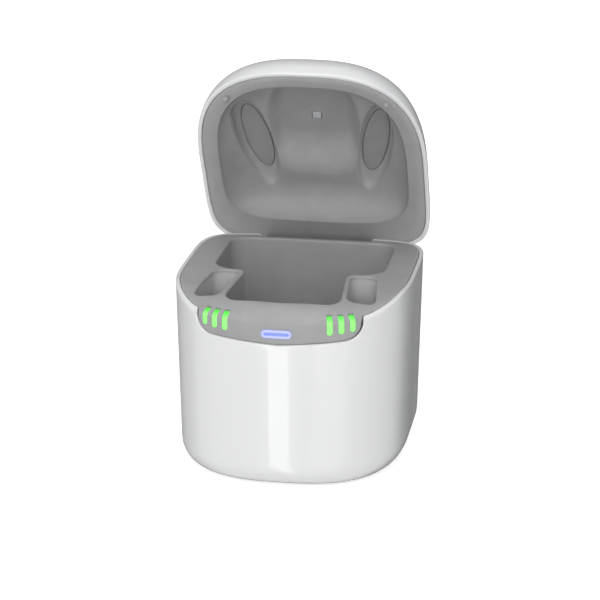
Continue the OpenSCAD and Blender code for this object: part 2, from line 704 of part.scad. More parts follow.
window_y = window_in - bowl_front;
module lid_liner() color("gray") opened() lifted() difference() {
    union() {
        translate([0, 0, seam_gap]) linear_extrude(liner_t)
            polygon([for (t = angles) edge(skirt_in, t)]);
        bowl(liner_t);
        middle(liner_t);
        sides() intersection() {
            pocket(liner_t);
            translate([0, -front_reach, seam_gap])
                cube([half_w, front_reach + back_reach, lid_h]);
        }
        translate([-hinge_half, web_front, -hinge_drop])
            cube([2 * hinge_half, web_back - web_front, hinge_drop + seam_gap + liner_t]);
        translate([0, 0, -rim_z]) along_x(-hinge_half, hinge_half, barrel_r);
        translate([-hinge_half, hinge_y, -hinge_drop]) rotate([lid_open, 0, 0])
            translate([0, 0.02, -heel_reach]) cube([2 * hinge_half, heel_t, heel_reach]);
    }
    bowl(0);
    middle(0);
    sides() pocket(0);
    translate([0, window_y, bowl_depth]) cube([window_w + 0.8, window_w + 0.8, 6], center = true);
    translate([0, 0, -rim_z]) {
        along_x(-hinge_half - over, hinge_half + over, pin_r + 0.35);
        sides() along_x(hinge_half - bushing_len, hinge_half + over, pin_r + pin_gap + bushing_t);
    }
    for (x = [-1, 1]) translate([x * stop_x, stop_y, -over]) cylinder(r = 0.7, h = 6, $fn = 24);
}
module pocket_pad() at_pad() translate([0, 0, -pad_t]) linear_extrude(pad_t - 0.1)
    polygon([for (t = [0:10:350]) [(pad_w / 2 - 0.12) * cos(t), (pad_len / 2 - 0.12) * sin(t)]]);
module left_pocket_pad() color("gray") opened() lifted() scale_x(-1) pocket_pad();
module right_pocket_pad() color("gray") opened() lifted() pocket_pad();

module uv_window() color("lightblue") opened() lifted()
    translate([-window_w / 2, window_y - window_w / 2, bowl_depth + 0.2])
    cube([window_w, window_w, 0.7]);
module uv_led() color("gold") opened() lifted()
    translate([-1.1, window_y - 1.1, bowl_depth + 1.05]) cube([2.2, 2.2, 0.3]);
module uv_board() color("green") opened() lifted()
    translate([-5, window_y - 4, bowl_depth + 1.45]) cube([10, 8, 0.4]);

stop_r = 1.1;
stop_x = half_w - 12.3;
stop_y = 12 - front_reach;
module lid_stops() color("gray") opened() lifted() for (x = [-1, 1])
    translate([x * stop_x, stop_y, 0]) rotate_extrude() polygon(concat(
        [[0, seam_gap + liner_t], [0.62, seam_gap + liner_t], [0.62, seam_gap - touch],
            [stop_r, seam_gap - touch]],
        [for (a = [0:15:90]) [stop_r * cos(a), -touch - stop_r * sin(a)]]));
module lid_magnets() color("silver") opened() lifted() sides()
    translate([magnet_x, magnet_y, seam_gap + liner_t + hair]) cylinder(r = magnet_r, h = 1.5);

// Nothing above is drawn until here. The whole object stands on the middle of its outline.
module placed() translate([0, centre_y, 0]) children();
placed() base_shell();
placed() bottom_cover();
placed() rubber_feet();
placed() cover_screws();
placed() deck_tray();
placed() left_light_guide();
placed() right_light_guide();
placed() status_leds();
placed() status_light_boards();
placed() power_button();
placed() button_light_bar();
placed() button_switch();
placed() switch_board();
placed() left_charging_coil();
placed() right_charging_coil();
placed() heater();
placed() fan_frame();
placed() fan_rotor();
placed() main_board();
placed() board_chips();
placed() board_screws();
placed() power_inlet();
placed() catch_magnets();
placed() hinge_pin();
placed() hinge_bushings();
placed() lid_shell();
placed() lid_liner();
placed() left_pocket_pad();
placed() right_pocket_pad();
placed() uv_window();
placed() uv_led();
placed() uv_board();
placed() lid_stops();
placed() lid_magnets();
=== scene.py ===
# %% [markdown]
# A hearing aid dryer: a white cup with a grey tray, and a domed lid that stands open. This
# lesson loads the engineering model as a fixed frame and dresses it. The big mouldings are
# redrawn here as smooth surfaces from the same formulas, because the frame's own meshes are
# flat triangles that would show in a glossy reflection. Small hard parts keep their meshes.

from math import atan2, cos, pi, radians, sin

import bmesh
import bpy
import numpy as np
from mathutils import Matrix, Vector
from mathutils.geometry import delaunay_2d_cdt


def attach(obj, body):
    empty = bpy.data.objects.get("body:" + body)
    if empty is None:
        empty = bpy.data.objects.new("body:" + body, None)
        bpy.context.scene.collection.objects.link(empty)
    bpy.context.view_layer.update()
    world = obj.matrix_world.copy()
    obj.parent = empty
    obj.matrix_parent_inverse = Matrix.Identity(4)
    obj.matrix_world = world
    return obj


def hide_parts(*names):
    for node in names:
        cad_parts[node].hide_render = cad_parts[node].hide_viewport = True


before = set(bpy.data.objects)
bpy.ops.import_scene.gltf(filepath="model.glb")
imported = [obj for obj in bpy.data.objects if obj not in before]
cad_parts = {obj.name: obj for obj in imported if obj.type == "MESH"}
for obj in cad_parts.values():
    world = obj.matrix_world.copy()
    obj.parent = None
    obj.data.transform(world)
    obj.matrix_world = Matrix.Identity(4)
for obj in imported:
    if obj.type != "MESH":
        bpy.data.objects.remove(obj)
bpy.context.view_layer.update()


def add_object(name, data):
    obj = bpy.data.objects.new(name, data)
    bpy.context.scene.collection.objects.link(obj)
    return obj


# %% [markdown]
# The sizes below are the ones that the frame was drawn with, in millimetres. The rim of the
# cup is the zero of every height, so that a piece can be thought of as above or below it,
# and one helper moves finished points into the frame's metres.

# %% Sizes of the real thing
HALF_W, BACK, FRONT = 39.3, 37.6, 44.0
BACK_POWER, FRONT_POWER = 6.1, 2.78
RIM, SHIFT_Y = 63.5, -6.83186
FOOT, BOTTOM_R, DRAFT, WALL = 1.0, 8.0, 1.2, 1.4
WALL_LOW = FOOT + BOTTOM_R - RIM
DIP, DIP_RUN, DIP_START, DIP_FULL = 4.4, 12.0, FRONT - 25, FRONT - 7
HINGE_Y, HINGE_DROP, LID_OPEN = BACK - 0.85, 12.0, radians(60)
NOTCH_HALF, NOTCH_FLOOR = 19.5, HINGE_DROP + 5.1
LUG_END, BARREL_R = 24.1, 3.9
SEAM, TRAY_IN, GAP = 0.4, 1.52, 0.12
WELL_DEPTH, SLOT_DEPTH = 34.0, 20.0


def to_frame(points):
    """Millimetres about the tray's middle, height from the rim, become metres of the frame."""
    return (np.asarray(points, float) + [0.0, SHIFT_Y, RIM]) * 0.001


def columns(*parts):
    """Arrays side by side as the columns of one. Single numbers are repeated."""
    return np.stack(np.broadcast_arrays(*parts), -1)


def unit(vectors):
    """Plan vectors brought to length 1."""
    return vectors / np.hypot(*vectors.T)[:, None]


def swing_open(points):
    """Turn the closed lid's points by the open angle: y and z rotate about the hinge line."""
    y, z = points[..., 1] - HINGE_Y, points[..., 2] + HINGE_DROP
    c, s = cos(LID_OPEN), sin(LID_OPEN)
    return columns(points[..., 0], y * c + z * s + HINGE_Y, z * c - y * s - HINGE_DROP)


def quarter(count):
    """Angles from 0 to a right angle."""
    return np.linspace(0, pi / 2, count)


def level(xy, z):
    """Plan points set at one height, or each at its own."""
    return columns(*xy.T, z)


def halve(low, high, rounds, passed):
    """Narrow intervals round the value from which on a test passes, by halving them."""
    for _ in range(rounds):
        mid = (low + high) / 2
        held = passed(mid)
        high, low = np.where(held, mid, high), np.where(held, low, mid)
    return low, high


print("the rim stands %.1f mm over the floor" % RIM)

# %% [markdown]
# Cup, lid and tray all share one outline: an egg whose back half is a squarer superellipse
# than its front half. Drawn by its polar angle it stays evenly spaced, where the usual
# formula by cosine powers would crowd its points in the corners.

# %% The shared outline
def half_at(y, back=BACK, front=FRONT, powers=(BACK_POWER, FRONT_POWER)):
    """Reach and power of the back half where y is positive, and else of the front half."""
    return np.where(y >= 0, back, front), np.where(y >= 0, *powers)


def egg(angle, half, *halves):
    """Point at a polar angle where |x/half|^p + |y/reach|^p = 1, each half with its own p."""
    c, s = np.cos(angle), np.sin(angle)
    b, p = half_at(s, *halves)
    r = (np.abs(c / half) ** p + np.abs(s / b) ** p) ** (-1 / p)
    return columns(r * c, r * s)


def egg_value(points, half, *halves):
    """|x/half|^p + |y/reach|^p of plan points: below 1 inside the egg and above 1 outside."""
    b, p = half_at(points[..., 1], *halves)
    x, y = np.abs(points[..., 0]), np.abs(points[..., 1])
    return (x / half) ** p + (y / b) ** p


def inset_egg(angle, s=0.0):
    """The outline drawn inwards: every reach shortened by the inset."""
    return egg(angle, HALF_W - s, BACK - s, FRONT - s)


def inset_of(points):
    """Inset of the egg that passes through each point."""
    low, high = np.full(points.shape[:-1], -1.0), np.full(points.shape[:-1], 30.0)
    low, high = halve(low, high, 21, lambda inset: egg_value(
        points, HALF_W - inset, BACK - inset, FRONT - inset) > 1)
    return (low + high) / 2


def dip_share(y):
    """Share of the front dip: 0 behind, 1 at the front, a power curve of y between."""
    return np.clip((-y - DIP_START) / (DIP_FULL - DIP_START), 0, 1) ** 1.3


def crease_r(share):
    """Radius of the edge between deck and front panel."""
    return 0.5 + 0.6 * share


def deck_z(inset, share):
    """Deck height: minus dip times (1 - inset / run) squared, as far in as the run goes."""
    return -DIP * share * np.clip(1 - inset / DIP_RUN, 0, None) ** 2


def deck_height(points):
    """Height of the deck at plan points, its share read where the same ray meets the rim."""
    inset = inset_of(points)
    b, _ = half_at(points[..., 1])
    return deck_z(inset, dip_share(points[..., 1] * b / (b - inset)))


# A dense table turns arc length into a point of the outline and its inward normal
DENSE = np.linspace(0, 2 * pi, 24001)
DENSE_XY = inset_egg(DENSE)
DENSE_ARC = np.concatenate([[0], np.cumsum(np.hypot(*np.diff(DENSE_XY, axis=0).T))])
ROUND = DENSE_ARC[-1]
along = np.gradient(DENSE_XY, axis=0)
along[0] = along[-1] = [0, 1]
DENSE_IN = unit(columns(-along[:, 1], along[:, 0]))


def at_arc(arc, table=DENSE_XY):
    """A table's value at an arc length, by default the outline's point."""
    arc = np.mod(arc, ROUND)
    return columns(*(np.interp(arc, DENSE_ARC, column) for column in table.T))


def rim_share(arc):
    """Share of the front dip where the outline has this arc length."""
    return dip_share(at_arc(arc)[..., 1])


def arc_of_x(x, front=True):
    """Arc length at which the front or the back of the outline has this x."""
    side = DENSE >= pi if front else DENSE <= pi
    sign = 1 if front else -1
    return np.interp(sign * np.asarray(x, float), sign * DENSE_XY[side, 0], DENSE_ARC[side])


print("outline is %.1f mm round" % ROUND)

# %% [markdown]
# Every new piece is a set of grids of points, and where a face has holes it is filled with
# triangles. A class collects them and makes one mesh. Edges where grids meet are merged,
# normals are turned outwards, and only true corners stay sharp.

# %% Grids and fields become meshes
class Sheets:
    """Collects grids, discs and fields of points, in millimetres, and makes one mesh."""

    def __init__(self):
        self.points, self.faces, self.count = [], [], 0

    def add(self, points, faces):
        self.points.append(np.asarray(points, float).reshape(-1, 3))
        self.faces.append(np.asarray(faces) + self.count)
        self.count += len(self.points[-1])
        return self

    def grid(self, points, closed=True):
        """Quads between neighbours of a grid, as four shifted copies of one index array. The
        rows are closed rings if wanted."""
        points = np.asarray(points, float)
        index = np.arange(points.shape[0] * points.shape[1]).reshape(points.shape[:2])
        if closed:
            index = np.hstack([index, index[:, :1]])
        quads = columns(index[:-1, :-1], index[:-1, 1:], index[1:, 1:], index[1:, :-1])
        return self.add(points, quads.reshape(-1, 4))

    def disc(self, ring):
        """A fan of triangles from a ring to its middle."""
        at = np.arange(len(ring))
        return self.add(np.vstack([ring, ring.mean(0, keepdims=True)]),
                        columns(at, np.roll(at, -1), len(ring)))

    def tube(self, rows):
        """Closed rings joined in a row, with a disc on the first and on the last."""
        return self.grid(rows).disc(rows[0]).disc(rows[-1])

    def field(self, shape, *flat_field):
        """Triangles of a flat field, each point moved to where a function puts it."""
        flat, triangles = fill(*flat_field)
        return self.add(shape(flat), triangles)

    def piece(self, name, body, *nodes, lid=False, weld=0.004, sharp=42, wall=0, toward=None):
        """One mesh of all the sheets. An open one has its faces turned towards a direction."""
        points = np.vstack(self.points)
        points = to_frame(swing_open(points) if lid else points)
        mesh = bpy.data.meshes.new(name)
        faces = [tuple(f) for block in self.faces for f in block.tolist()]
        mesh.from_pydata(points.tolist(), [], faces)
        work = bmesh.new()
        work.from_mesh(mesh)
        bmesh.ops.remove_doubles(work, verts=work.verts, dist=weld * 0.001)
        bmesh.ops.dissolve_degenerate(work, dist=2e-7, edges=work.edges)
        bmesh.ops.recalc_face_normals(work, faces=work.faces)
        if toward and sum(f.normal.dot(toward) * f.calc_area() for f in work.faces) < 0:
            bmesh.ops.reverse_faces(work, faces=work.faces)
        work.to_mesh(mesh)
        work.free()
        mesh.polygons.foreach_set("use_smooth", np.ones(len(mesh.polygons), bool))
        mesh.set_sharp_from_angle(angle=radians(sharp))
        obj = add_object(name, mesh)
        if wall:
            thick = obj.modifiers.new("wall", "SOLIDIFY")
            thick.thickness, thick.offset = wall * 0.001, -1
        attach(obj, body)
        if nodes:
            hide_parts(*nodes)
        print(name, "has", len(mesh.polygons), "faces")
        return obj


print("sheets can be collected")

# %% [markdown]
# A face with holes is filled in the plane first. Delaunay triangles keep the outline's and the
# holes' edges and take up any inner points, as long as none lies too near to an edge, where it
# would make needles. The triangles of the holes are dropped afterwards.

# %% Filling flat outlines
def inside(points, loop):
    """Even-odd rule: count the loop's edges that a line to the right of each point crosses."""
    a, b = loop, np.roll(loop, -1, 0)
    hit = np.zeros(len(points), bool)
    for part in np.array_split(np.arange(len(loop)), max(1, len(loop) // 150)):
        y = points[:, 1, None]
        up = (a[part, 1] > y) != (b[part, 1] > y)
        rise = np.where(b[part, 1] == a[part, 1], 1, b[part, 1] - a[part, 1])
        x = a[part, 0] + (y - a[part, 1]) * (b[part, 0] - a[part, 0]) / rise
        hit ^= (np.sum(up & (points[:, 0, None] < x), 1) % 2).astype(bool)
    return hit


def far_from(points, others, gap):
    """Which points have no other point nearer than the gap."""
    clear = np.ones(len(points), bool)
    for part in np.array_split(others, max(1, len(others) // 300)):
        away = points[:, None] - part[None]
        clear &= (away ** 2).sum(-1).min(1) > gap * gap
    return clear


def fill(loops, inner, gap):
    """Triangles between a first loop and the holes after it, through the inner points. Slivers
    without area are dropped, since their normals would shade as dark specks."""
    edge = np.vstack(loops)
    inner = inner[inside(inner, loops[0])]
    for hole in loops[1:]:
        inner = inner[~inside(inner, hole)]
    inner = inner[far_from(inner, edge, gap)]
    starts = np.cumsum([0] + [len(loop) for loop in loops[:-1]])
    edges = [(s + i, s + (i + 1) % len(loop)) for s, loop in zip(starts.tolist(), loops)
             for i in range(len(loop))]
    points = [Vector(p) for p in np.vstack([edge, inner]).tolist()]
    out = delaunay_2d_cdt(points, edges, [], 0, 1e-6)
    flat = np.array([tuple(v) for v in out[0]])
    triangles = np.array([tuple(t) for t in out[2]])
    a, b, c = np.moveaxis(flat[triangles], 1, 0)
    wide = np.abs(np.cross(b - a, c - a)) > 1e-4
    middle = (a + b + c) / 3
    good = inside(middle, loops[0]) & wide
    for hole in loops[1:]:
        good &= ~inside(middle, hole)
    return flat, triangles[good]


def lattice(low, high, step):
    """Points of a regular grid over a box, with a step for each direction."""
    xs = np.arange(low[0], high[0] + step[0], step[0])
    ys = np.arange(low[1], high[1] + step[1], step[1])
    return np.stack(np.meshgrid(xs, ys), -1).reshape(-1, 2)


print("outlines can be filled")

# %% [markdown]
# Outlines are drawn as a draughtsman would: straight sides with an arc in each corner, points
# at an even step, and a little smoothing where a path was put together from parts.

# %% Drawing outlines
def spread(path, step, closed=True):
    """Points along a path at about the given step, every corner kept. Columns after x and y
    are carried along."""
    ahead = np.roll(path, -1, 0) if closed else path[1:]
    start = path if closed else path[:-1]
    counts = np.maximum(1, np.round(np.hypot(*(ahead - start)[:, :2].T) / step)).astype(int)
    at = np.repeat(np.arange(len(start)), counts)
    share = np.arange(len(at)) - np.repeat(np.cumsum(counts) - counts, counts)
    share = (share / np.repeat(counts, counts))[:, None]
    out = start[at] * (1 - share) + ahead[at] * share
    return out if closed else np.vstack([out, path[-1:]])


def rounded(corners, r, grow=0.0, step=0.5):
    """Closed loop whose corners are arcs of radius r that touch both sides, and its outward
    normals. Growing it moves every point along its normal."""
    corners = np.asarray(corners, float)
    radii = np.broadcast_to(r, len(corners))
    points, normals = [], []
    for i, corner in enumerate(corners):
        a, b = corners[i - 1] - corner, corners[(i + 1) % len(corners)] - corner
        a, b = a / np.hypot(*a), b / np.hypot(*b)
        turn = pi - np.arccos(np.clip(a @ b, -1, 1))
        sign = 1 if a[0] * b[1] - a[1] * b[0] < 0 else -1
        centre = corner + (a + b) / np.hypot(*(a + b)) * radii[i] / cos(turn / 2)
        first = np.array([-a[1], a[0]]) * sign
        count = max(4, int(turn * radii[i] / step) + 1)
        angle = atan2(first[1], first[0]) + sign * np.linspace(0, turn, count)
        ray = columns(np.cos(angle), np.sin(angle))
        points.append(centre + radii[i] * ray)
        normals.append(ray * sign)
    both = spread(np.hstack([np.vstack(points), np.vstack(normals)]), step)
    n = unit(both[:, 2:])
    return both[:, :2] + n * grow, n


def box(half, top, low):
    """Corners of a rectangle about the line x = 0."""
    return [(half, top), (-half, top), (-half, low), (half, low)]


def soften(path, rounds, closed=True):
    """Round a dense path's corners by averaging each point with its two neighbours."""
    for _ in range(rounds):
        ends = path[[0, -1]]
        path = (np.roll(path, 1, 0) + 2 * path + np.roll(path, -1, 0)) / 4
        if not closed:
            path[[0, -1]] = ends
    return path


def side_normals(path, closed=False):
    """Unit normals to the right of a path's direction."""
    if closed:
        path = np.vstack([path[-1:], path, path[:1]])
    step = np.gradient(path, axis=0)
    normals = unit(columns(step[:, 1], -step[:, 0]))
    return normals[1:-1] if closed else normals


print("outlines can be drawn")

# %% [markdown]
# The front panel sits in a scoop that is cut through the white shell. Seen from the front the
# cut is a wide shield with round lower corners. Both the white edge and the grey panel are
# drawn from it, the panel a hair smaller.

# %% The scoop, seen from the front
SCOOP_TOP, SCOOP_R = 9.0, 5.5
SCOOP = [(27.4, SCOOP_TOP), (-27.4, SCOOP_TOP), (-26.6, -10.6), (0.0, -12.6), (26.6, -10.6)]


def wall_top(arc):
    """Height at which the rounded top edge meets the upright wall."""
    share = rim_share(arc)
    return deck_z(0.0, share) - crease_r(share)


def wall_inset(arc, z):
    """The wall leans in evenly from its top down to the bottom's rounding."""
    top = wall_top(arc)
    return DRAFT * np.clip((top - z) / (top - WALL_LOW), 0, 1)


def scoop_line(grow):
    """The cut's sides and lower edge as (arc, z), from the left top to the right top."""
    line, _ = rounded(SCOOP, SCOOP_R, grow, 0.25)
    line = line[np.argmax(line[:, 1] < SCOOP_TOP - 0.5):]
    line = line[np.abs(line[:, 1] - SCOOP_TOP - grow) > 0.01]
    return columns(arc_of_x(line[:, 0]), line[:, 1])


print("scoop line has", len(scoop_line(0)), "points")

# %% [markdown]
# The white cup is one moulding of even wall. Its outer skin is unrolled: arc length runs
# across, height runs up, and the rim, the notch for the hinge and the scoop become one path on
# it. One function carries the flat picture back round the cup, at any depth in its wall.

# %% The cup's wall, unrolled
RIM_IN = 0.7  # inset at which the rounded rim is highest
SKIRT_LOW = -17.0  # lower edge of the tray's skirt
CUT_X, CUT_FADE = 34.0, 5.0  # half width of the cuts' region, and its fade to the sides


def cup_path():
    """Top edge as (arc, height), with 1 where it is rim and 0 where it is a cut."""
    scoop = scoop_line(0)
    scoop = scoop[scoop[:, 1] < deck_z(RIM_IN, rim_share(scoop[:, 0])) - 0.02]
    notch = arc_of_x([NOTCH_HALF, -NOTCH_HALF], front=False)
    pieces = [(0, notch[0]), (notch[1], scoop[0, 0]), (scoop[-1, 0], ROUND)]
    rims = []
    for start, stop in pieces:
        arc = np.linspace(start, stop, int((stop - start) / 0.3))
        rims.append(columns(arc, deck_z(RIM_IN, rim_share(arc)), 1))
    cut = spread(np.array([[notch[0], 0], [notch[0], -NOTCH_FLOOR], [notch[1], -NOTCH_FLOOR],
                           [notch[1], 0]]), 0.3, False)[1:-1]
    low = spread(scoop, 0.3, False)
    return np.vstack([rims[0], level(cut, 0), rims[1], level(low, 0), rims[2]])


def on_cup(arc, z, depth, rim=0.0):
    """Point of the wall at a depth below its skin. Near the front and back cuts the depth runs
    straight along y, as the cut does, and round the sides it runs towards the middle."""
    outer = wall_inset(arc, z)
    angle = np.interp(np.mod(arc, ROUND), DENSE_ARC, DENSE)
    start, end = inset_egg(angle, outer), inset_egg(angle, outer + depth)
    keep = np.clip((CUT_X - np.abs(start[..., 0])) / CUT_FADE, 0, 1)
    x = end[..., 0] + keep * (start[..., 0] - end[..., 0])
    s = outer + depth
    b, p = half_at(start[..., 1])
    y = (b - s) * (1 - np.clip(np.abs(x) / (HALF_W - s), 0, 0.999) ** p) ** (1 / p)
    y = np.where(keep > 0, np.where(start[..., 1] < 0, -y, y), end[..., 1])
    share = rim_share(arc)
    lift = rim * (deck_z(depth, share) - deck_z(RIM_IN, share))
    return columns(x, y, z + lift)


def inner_depth(arc, z):
    """The inside stands upright beside the tray's skirt and leans in below it."""
    inset = WALL + DRAFT * np.clip((SKIRT_LOW - z) / (SKIRT_LOW - WALL_LOW), 0, 1)
    return inset - wall_inset(arc, z)


print("the cup's top edge has", len(cup_path()), "points")

# %% [markdown]
# The skin below that path is filled with triangles once and used twice, outside and inside,
# and rounded rows over the path join the two. The power socket's hole in the back is part of
# the same flat picture. The bottom is a set of rings, and the hinge's lugs are short drums.

# %% White cup
SCOOP_EDGE_R, NOTCH_EDGE_R, INNER_R, SOCKET_Z = 0.85, 0.45, 0.25, -50.85
path = cup_path()
on_rim = soften(path[:, 2:], 6)[:, 0]
path = soften(path[:, :2], 5, closed=False)
normal = side_normals(path)
cut_r = np.where(path[:, 0] > ROUND / 2, SCOOP_EDGE_R, NOTCH_EDGE_R)
top_r = on_rim * crease_r(rim_share(path[:, 0])) + (1 - on_rim) * cut_r
skin_edge = path + normal * top_r[:, None]
skin_edge[0, 0], skin_edge[-1, 0] = 0, ROUND
side = np.linspace(WALL_LOW, skin_edge[0, 1], 34)[1:-1]
low = np.linspace(0, ROUND, 401)
loop = np.vstack([skin_edge, columns(ROUND, side[::-1]), columns(low[::-1], WALL_LOW),
                  columns(0, side)])
socket, socket_n = rounded(box(4.85, 1.95, -1.95), 1.94)
socket = socket + np.array([arc_of_x(0.0, False), SOCKET_Z])
flat, triangles = fill([loop, socket], lattice((1, WALL_LOW + 1), (ROUND, 0), (1.25, 1.4)), 0.6)
cup = Sheets().add(on_cup(*flat.T, 0.0), triangles)
cup.add(on_cup(*flat.T, inner_depth(*flat.T)), triangles)
rows = []
for a in quarter(6):
    edge = (path + normal * (top_r * (1 - sin(a)))[:, None]).T
    rows.append(on_cup(*edge, top_r * (1 - cos(a)), on_rim * sin(a)))
for a in quarter(5)[::-1]:
    edge = (path + normal * (top_r * (1 - sin(a)))[:, None]).T
    rows.append(on_cup(*edge, inner_depth(*edge) - INNER_R * (1 - cos(a)), on_rim * sin(a)))
cup.grid(rows, closed=False)
hole = [on_cup(*(socket + socket_n * grow).T, depth) for grow, depth in
        ((0.0, 0.0), (-0.08, 0.06), (-0.1, 0.3))]
hole.append(on_cup(*socket.T, inner_depth(*socket.T)))
cup.grid(hole)
angle = np.interp(low, DENSE_ARC, DENSE)
# Insets and heights from the wall round to the underside, the cover's step, and back up inside
under = [(DRAFT + BOTTOM_R * (1 - cos(a)), BOTTOM_R * (1 - sin(a))) for a in quarter(9)]
under += [(11.85, 0), (12.05, 0.2), (12.05, 1.6), (16.0, 1.6), (16.2, 1.8), (16.2, 3)]
under += [(DRAFT + WALL + 6.6 * (1 - cos(a)), 3 + 5 * (1 - sin(a))) for a in quarter(9)[::-1]]
cup.grid([level(inset_egg(angle, s), FOOT - RIM + z) for s, z in under], closed=False)


def round_ends(x0, x1, edge):
    """Places along a bar with rounded ends, and how much its section grows at each."""
    return [(x0, -edge), (x0 + 0.3 * edge, -0.3 * edge), (x0 + edge, 0),
            (x1 - edge, 0), (x1 - 0.3 * edge, -0.3 * edge), (x1, -edge)]


def drum(x0, x1, r, y, z):
    """Cylinder along x with rounded ends: a profile of (x, radius) turned about its axis."""
    bar = [(x, r + grow) for x, grow in round_ends(x0, x1, 0.4)]
    profile = [(x0, 0.01)] + bar + [(x1, 0.01)]
    t = np.linspace(0, 2 * pi, 64, endpoint=False)
    return [columns(x, y + q * np.cos(t), z + q * np.sin(t)) for x, q in profile]


for ends in ((-LUG_END, -NOTCH_HALF), (NOTCH_HALF, LUG_END)):
    cup.grid(drum(*ends, BARREL_R, HINGE_Y, -HINGE_DROP))
white_cup = cup.piece("white_cup", "cup", "base_shell", weld=0.01)

# %% [markdown]
# The grey tray is one more moulding: a deck with a well and two slots, and a front panel that
# hangs over the edge. Its outer band is unrolled like the cup: along the rim in one direction,
# and in the other over the deck, round the crease and down the panel. The openings for the
# light bars and the button are simple outlines in that flat picture.

# %% The tray's outer band, unrolled
BAR_X, BAR_HALF, BAR_WRAP, BAR_MOUTH = np.array([17.0, 20.6, 24.0]), 0.9, 2.9, 0.8
BUTTON_W, BUTTON_H, BUTTON_DROP, BUTTON_Y = 10.0, 2.85, 8.8, -44.3


def on_tray(arc, v, depth=0.0):
    """Point of the tray's skin. v runs along its profile: on the deck it is minus the distance
    from the rim, then it turns over the crease and runs down the panel."""
    base, n = at_arc(arc), unit(at_arc(arc, DENSE_IN))
    r = crease_r(dip_share(base[..., 1]))
    turn = np.clip((v + r) / r, 0, pi / 2)
    down = np.clip(v - (pi / 2 - 1) * r, 0, None)
    z = wall_top(arc) - down
    s = np.where(v < -r, -v, r * (1 - np.sin(turn))) + (down > 0) * wall_inset(arc, z)
    xy = base + n * s[..., None]
    z = np.where(down > 0, z, deck_height(xy) - r * (1 - np.cos(turn)))
    xy = xy + n * (depth * np.sin(turn))[..., None]
    return level(xy, z - depth * np.cos(turn))


def panel_v(arc, z):
    """The way along the profile at which the panel has this height."""
    r = crease_r(rim_share(arc))
    return wall_top(arc) - z + (pi / 2 - 1) * r


def over_crease(arc, sign):
    """From the panel's top corner back over the crease to the tray's edge, at constant x."""
    x, r = at_arc(arc)[0], crease_r(rim_share(arc))
    v = np.linspace((pi / 2 - 1) * r, -TRAY_IN, 12)
    s = np.where(v < -r, -v, r * (1 - np.sin(np.clip((v + r) / r, 0, pi / 2))))
    return columns(arc_of_x(x - at_arc(arc, DENSE_IN)[0] * s), v)[::sign]


def band_edge():
    """The band's outer edge as (arc, v): rim, hinge notch, rim, panel outline, rim."""
    panel = scoop_line(-GAP - 0.14)
    panel = panel[panel[:, 1] < wall_top(panel[:, 0]) - 0.05]
    panel = columns(panel[:, 0], panel_v(*panel.T))
    left, right = over_crease(panel[0, 0], -1), over_crease(panel[-1, 0], 1)
    back = arc_of_x([NOTCH_HALF + GAP, -NOTCH_HALF - GAP], front=False)
    corners = [[0, -TRAY_IN], [back[0], -TRAY_IN], [back[0], -3.6], [back[1], -3.6],
               [back[1], -TRAY_IN]]
    return spread(np.vstack([corners, left, panel, right, [[ROUND, -TRAY_IN]]]), 0.25, False)


def swell(loop, grow):
    """A loop with each point moved away from its middle by so much."""
    middle = loop.mean(0)
    return middle + (loop - middle) * (1 + grow / np.hypot(*(loop - middle).T))[:, None]


def pill(length, half, count=16):
    """A slot shape about the origin: two half circles joined by straight sides."""
    t = np.linspace(-pi / 2, pi / 2, count)
    right = columns(length / 2 - half + half * np.cos(t), half * np.sin(t))
    return spread(np.vstack([right, -right]), 0.3)


def bar_loop(x, grow, reach):
    """Outline of a bar in (arc, v): square on the deck, round at its lower end. From bar to
    bar the lower end rises along a parabola, as the panel's lower edge does."""
    arc = float(arc_of_x(x))
    k = (abs(x) - BAR_X[0]) / 3.5
    low = -(8.8 - 0.1225 * k - 0.12 * k * k) + BAR_HALF
    end = float(panel_v(np.array(arc), low))
    t = np.linspace(0, pi, 14)
    half = BAR_HALF + grow
    loop = np.vstack([columns(half * np.cos(t), half * np.sin(t) + end),
                      [[-half, -reach], [half, -reach]]])
    return spread(loop + [arc, 0], 0.3)


def button_loop(grow):
    """Outline of the button's opening in (arc, v)."""
    loop = pill(BUTTON_W + 2 * grow, BUTTON_H / 2 + grow)[::-1]
    arc = arc_of_x(loop[:, 0])
    return columns(arc, panel_v(arc, loop[:, 1] - BUTTON_DROP))


bars = np.concatenate([-BAR_X[::-1], BAR_X])
openings = [bar_loop(x, 0.06, BAR_WRAP) for x in bars] + [button_loop(0.12)]
print("the band has", len(openings), "openings")

# %% [markdown]
# The band's edges get small round fillets, because a moulded edge always catches a thin light
# line. Inwards the band ends on the deck, in a ring of evenly spaced points.

# %% The tray's band
edge = soften(band_edge(), 3, closed=False)
inwards = side_normals(edge)
FILLET = 0.3
skin = edge + inwards * FILLET
skin[0, 0], skin[-1, 0] = 0, ROUND
ring_arc = np.linspace(0, ROUND, 401)
inner_v = -3.2 - 1.4 * np.clip((at_arc(ring_arc)[:, 1] + 10) / 20, 0, 1)
seam_v = np.linspace(skin[0, 1], inner_v[0], 7)[1:-1]
loop = np.vstack([skin, columns(ROUND, seam_v), columns(ring_arc, inner_v)[::-1],
                  columns(0, seam_v[::-1])])
cols = np.linspace(0.4, ROUND - 0.4, 330)
r = crease_r(rim_share(cols))
deck_rows = [-4.0, -3.4, -2.8, -2.2, -1.6]
crease_rows = [-r + r * a for a in quarter(5)]
panel_rows = [(pi / 2 - 1) * r + k for k in np.arange(0.9, 12.6, 0.9)]
inner = np.concatenate([columns(cols, v) for v in deck_rows + crease_rows + panel_rows])
tray = Sheets().field(lambda p: on_tray(*p.T), [loop] + openings, inner, 0.22)
steps = quarter(5)
rows = [on_tray(*(edge + inwards * FILLET * (1 - sin(a))).T, FILLET * (1 - cos(a)))
        for a in steps]
rows += [on_tray(*edge.T, depth) for depth in (0.9, 2.0)]
tray.grid(rows, closed=False)
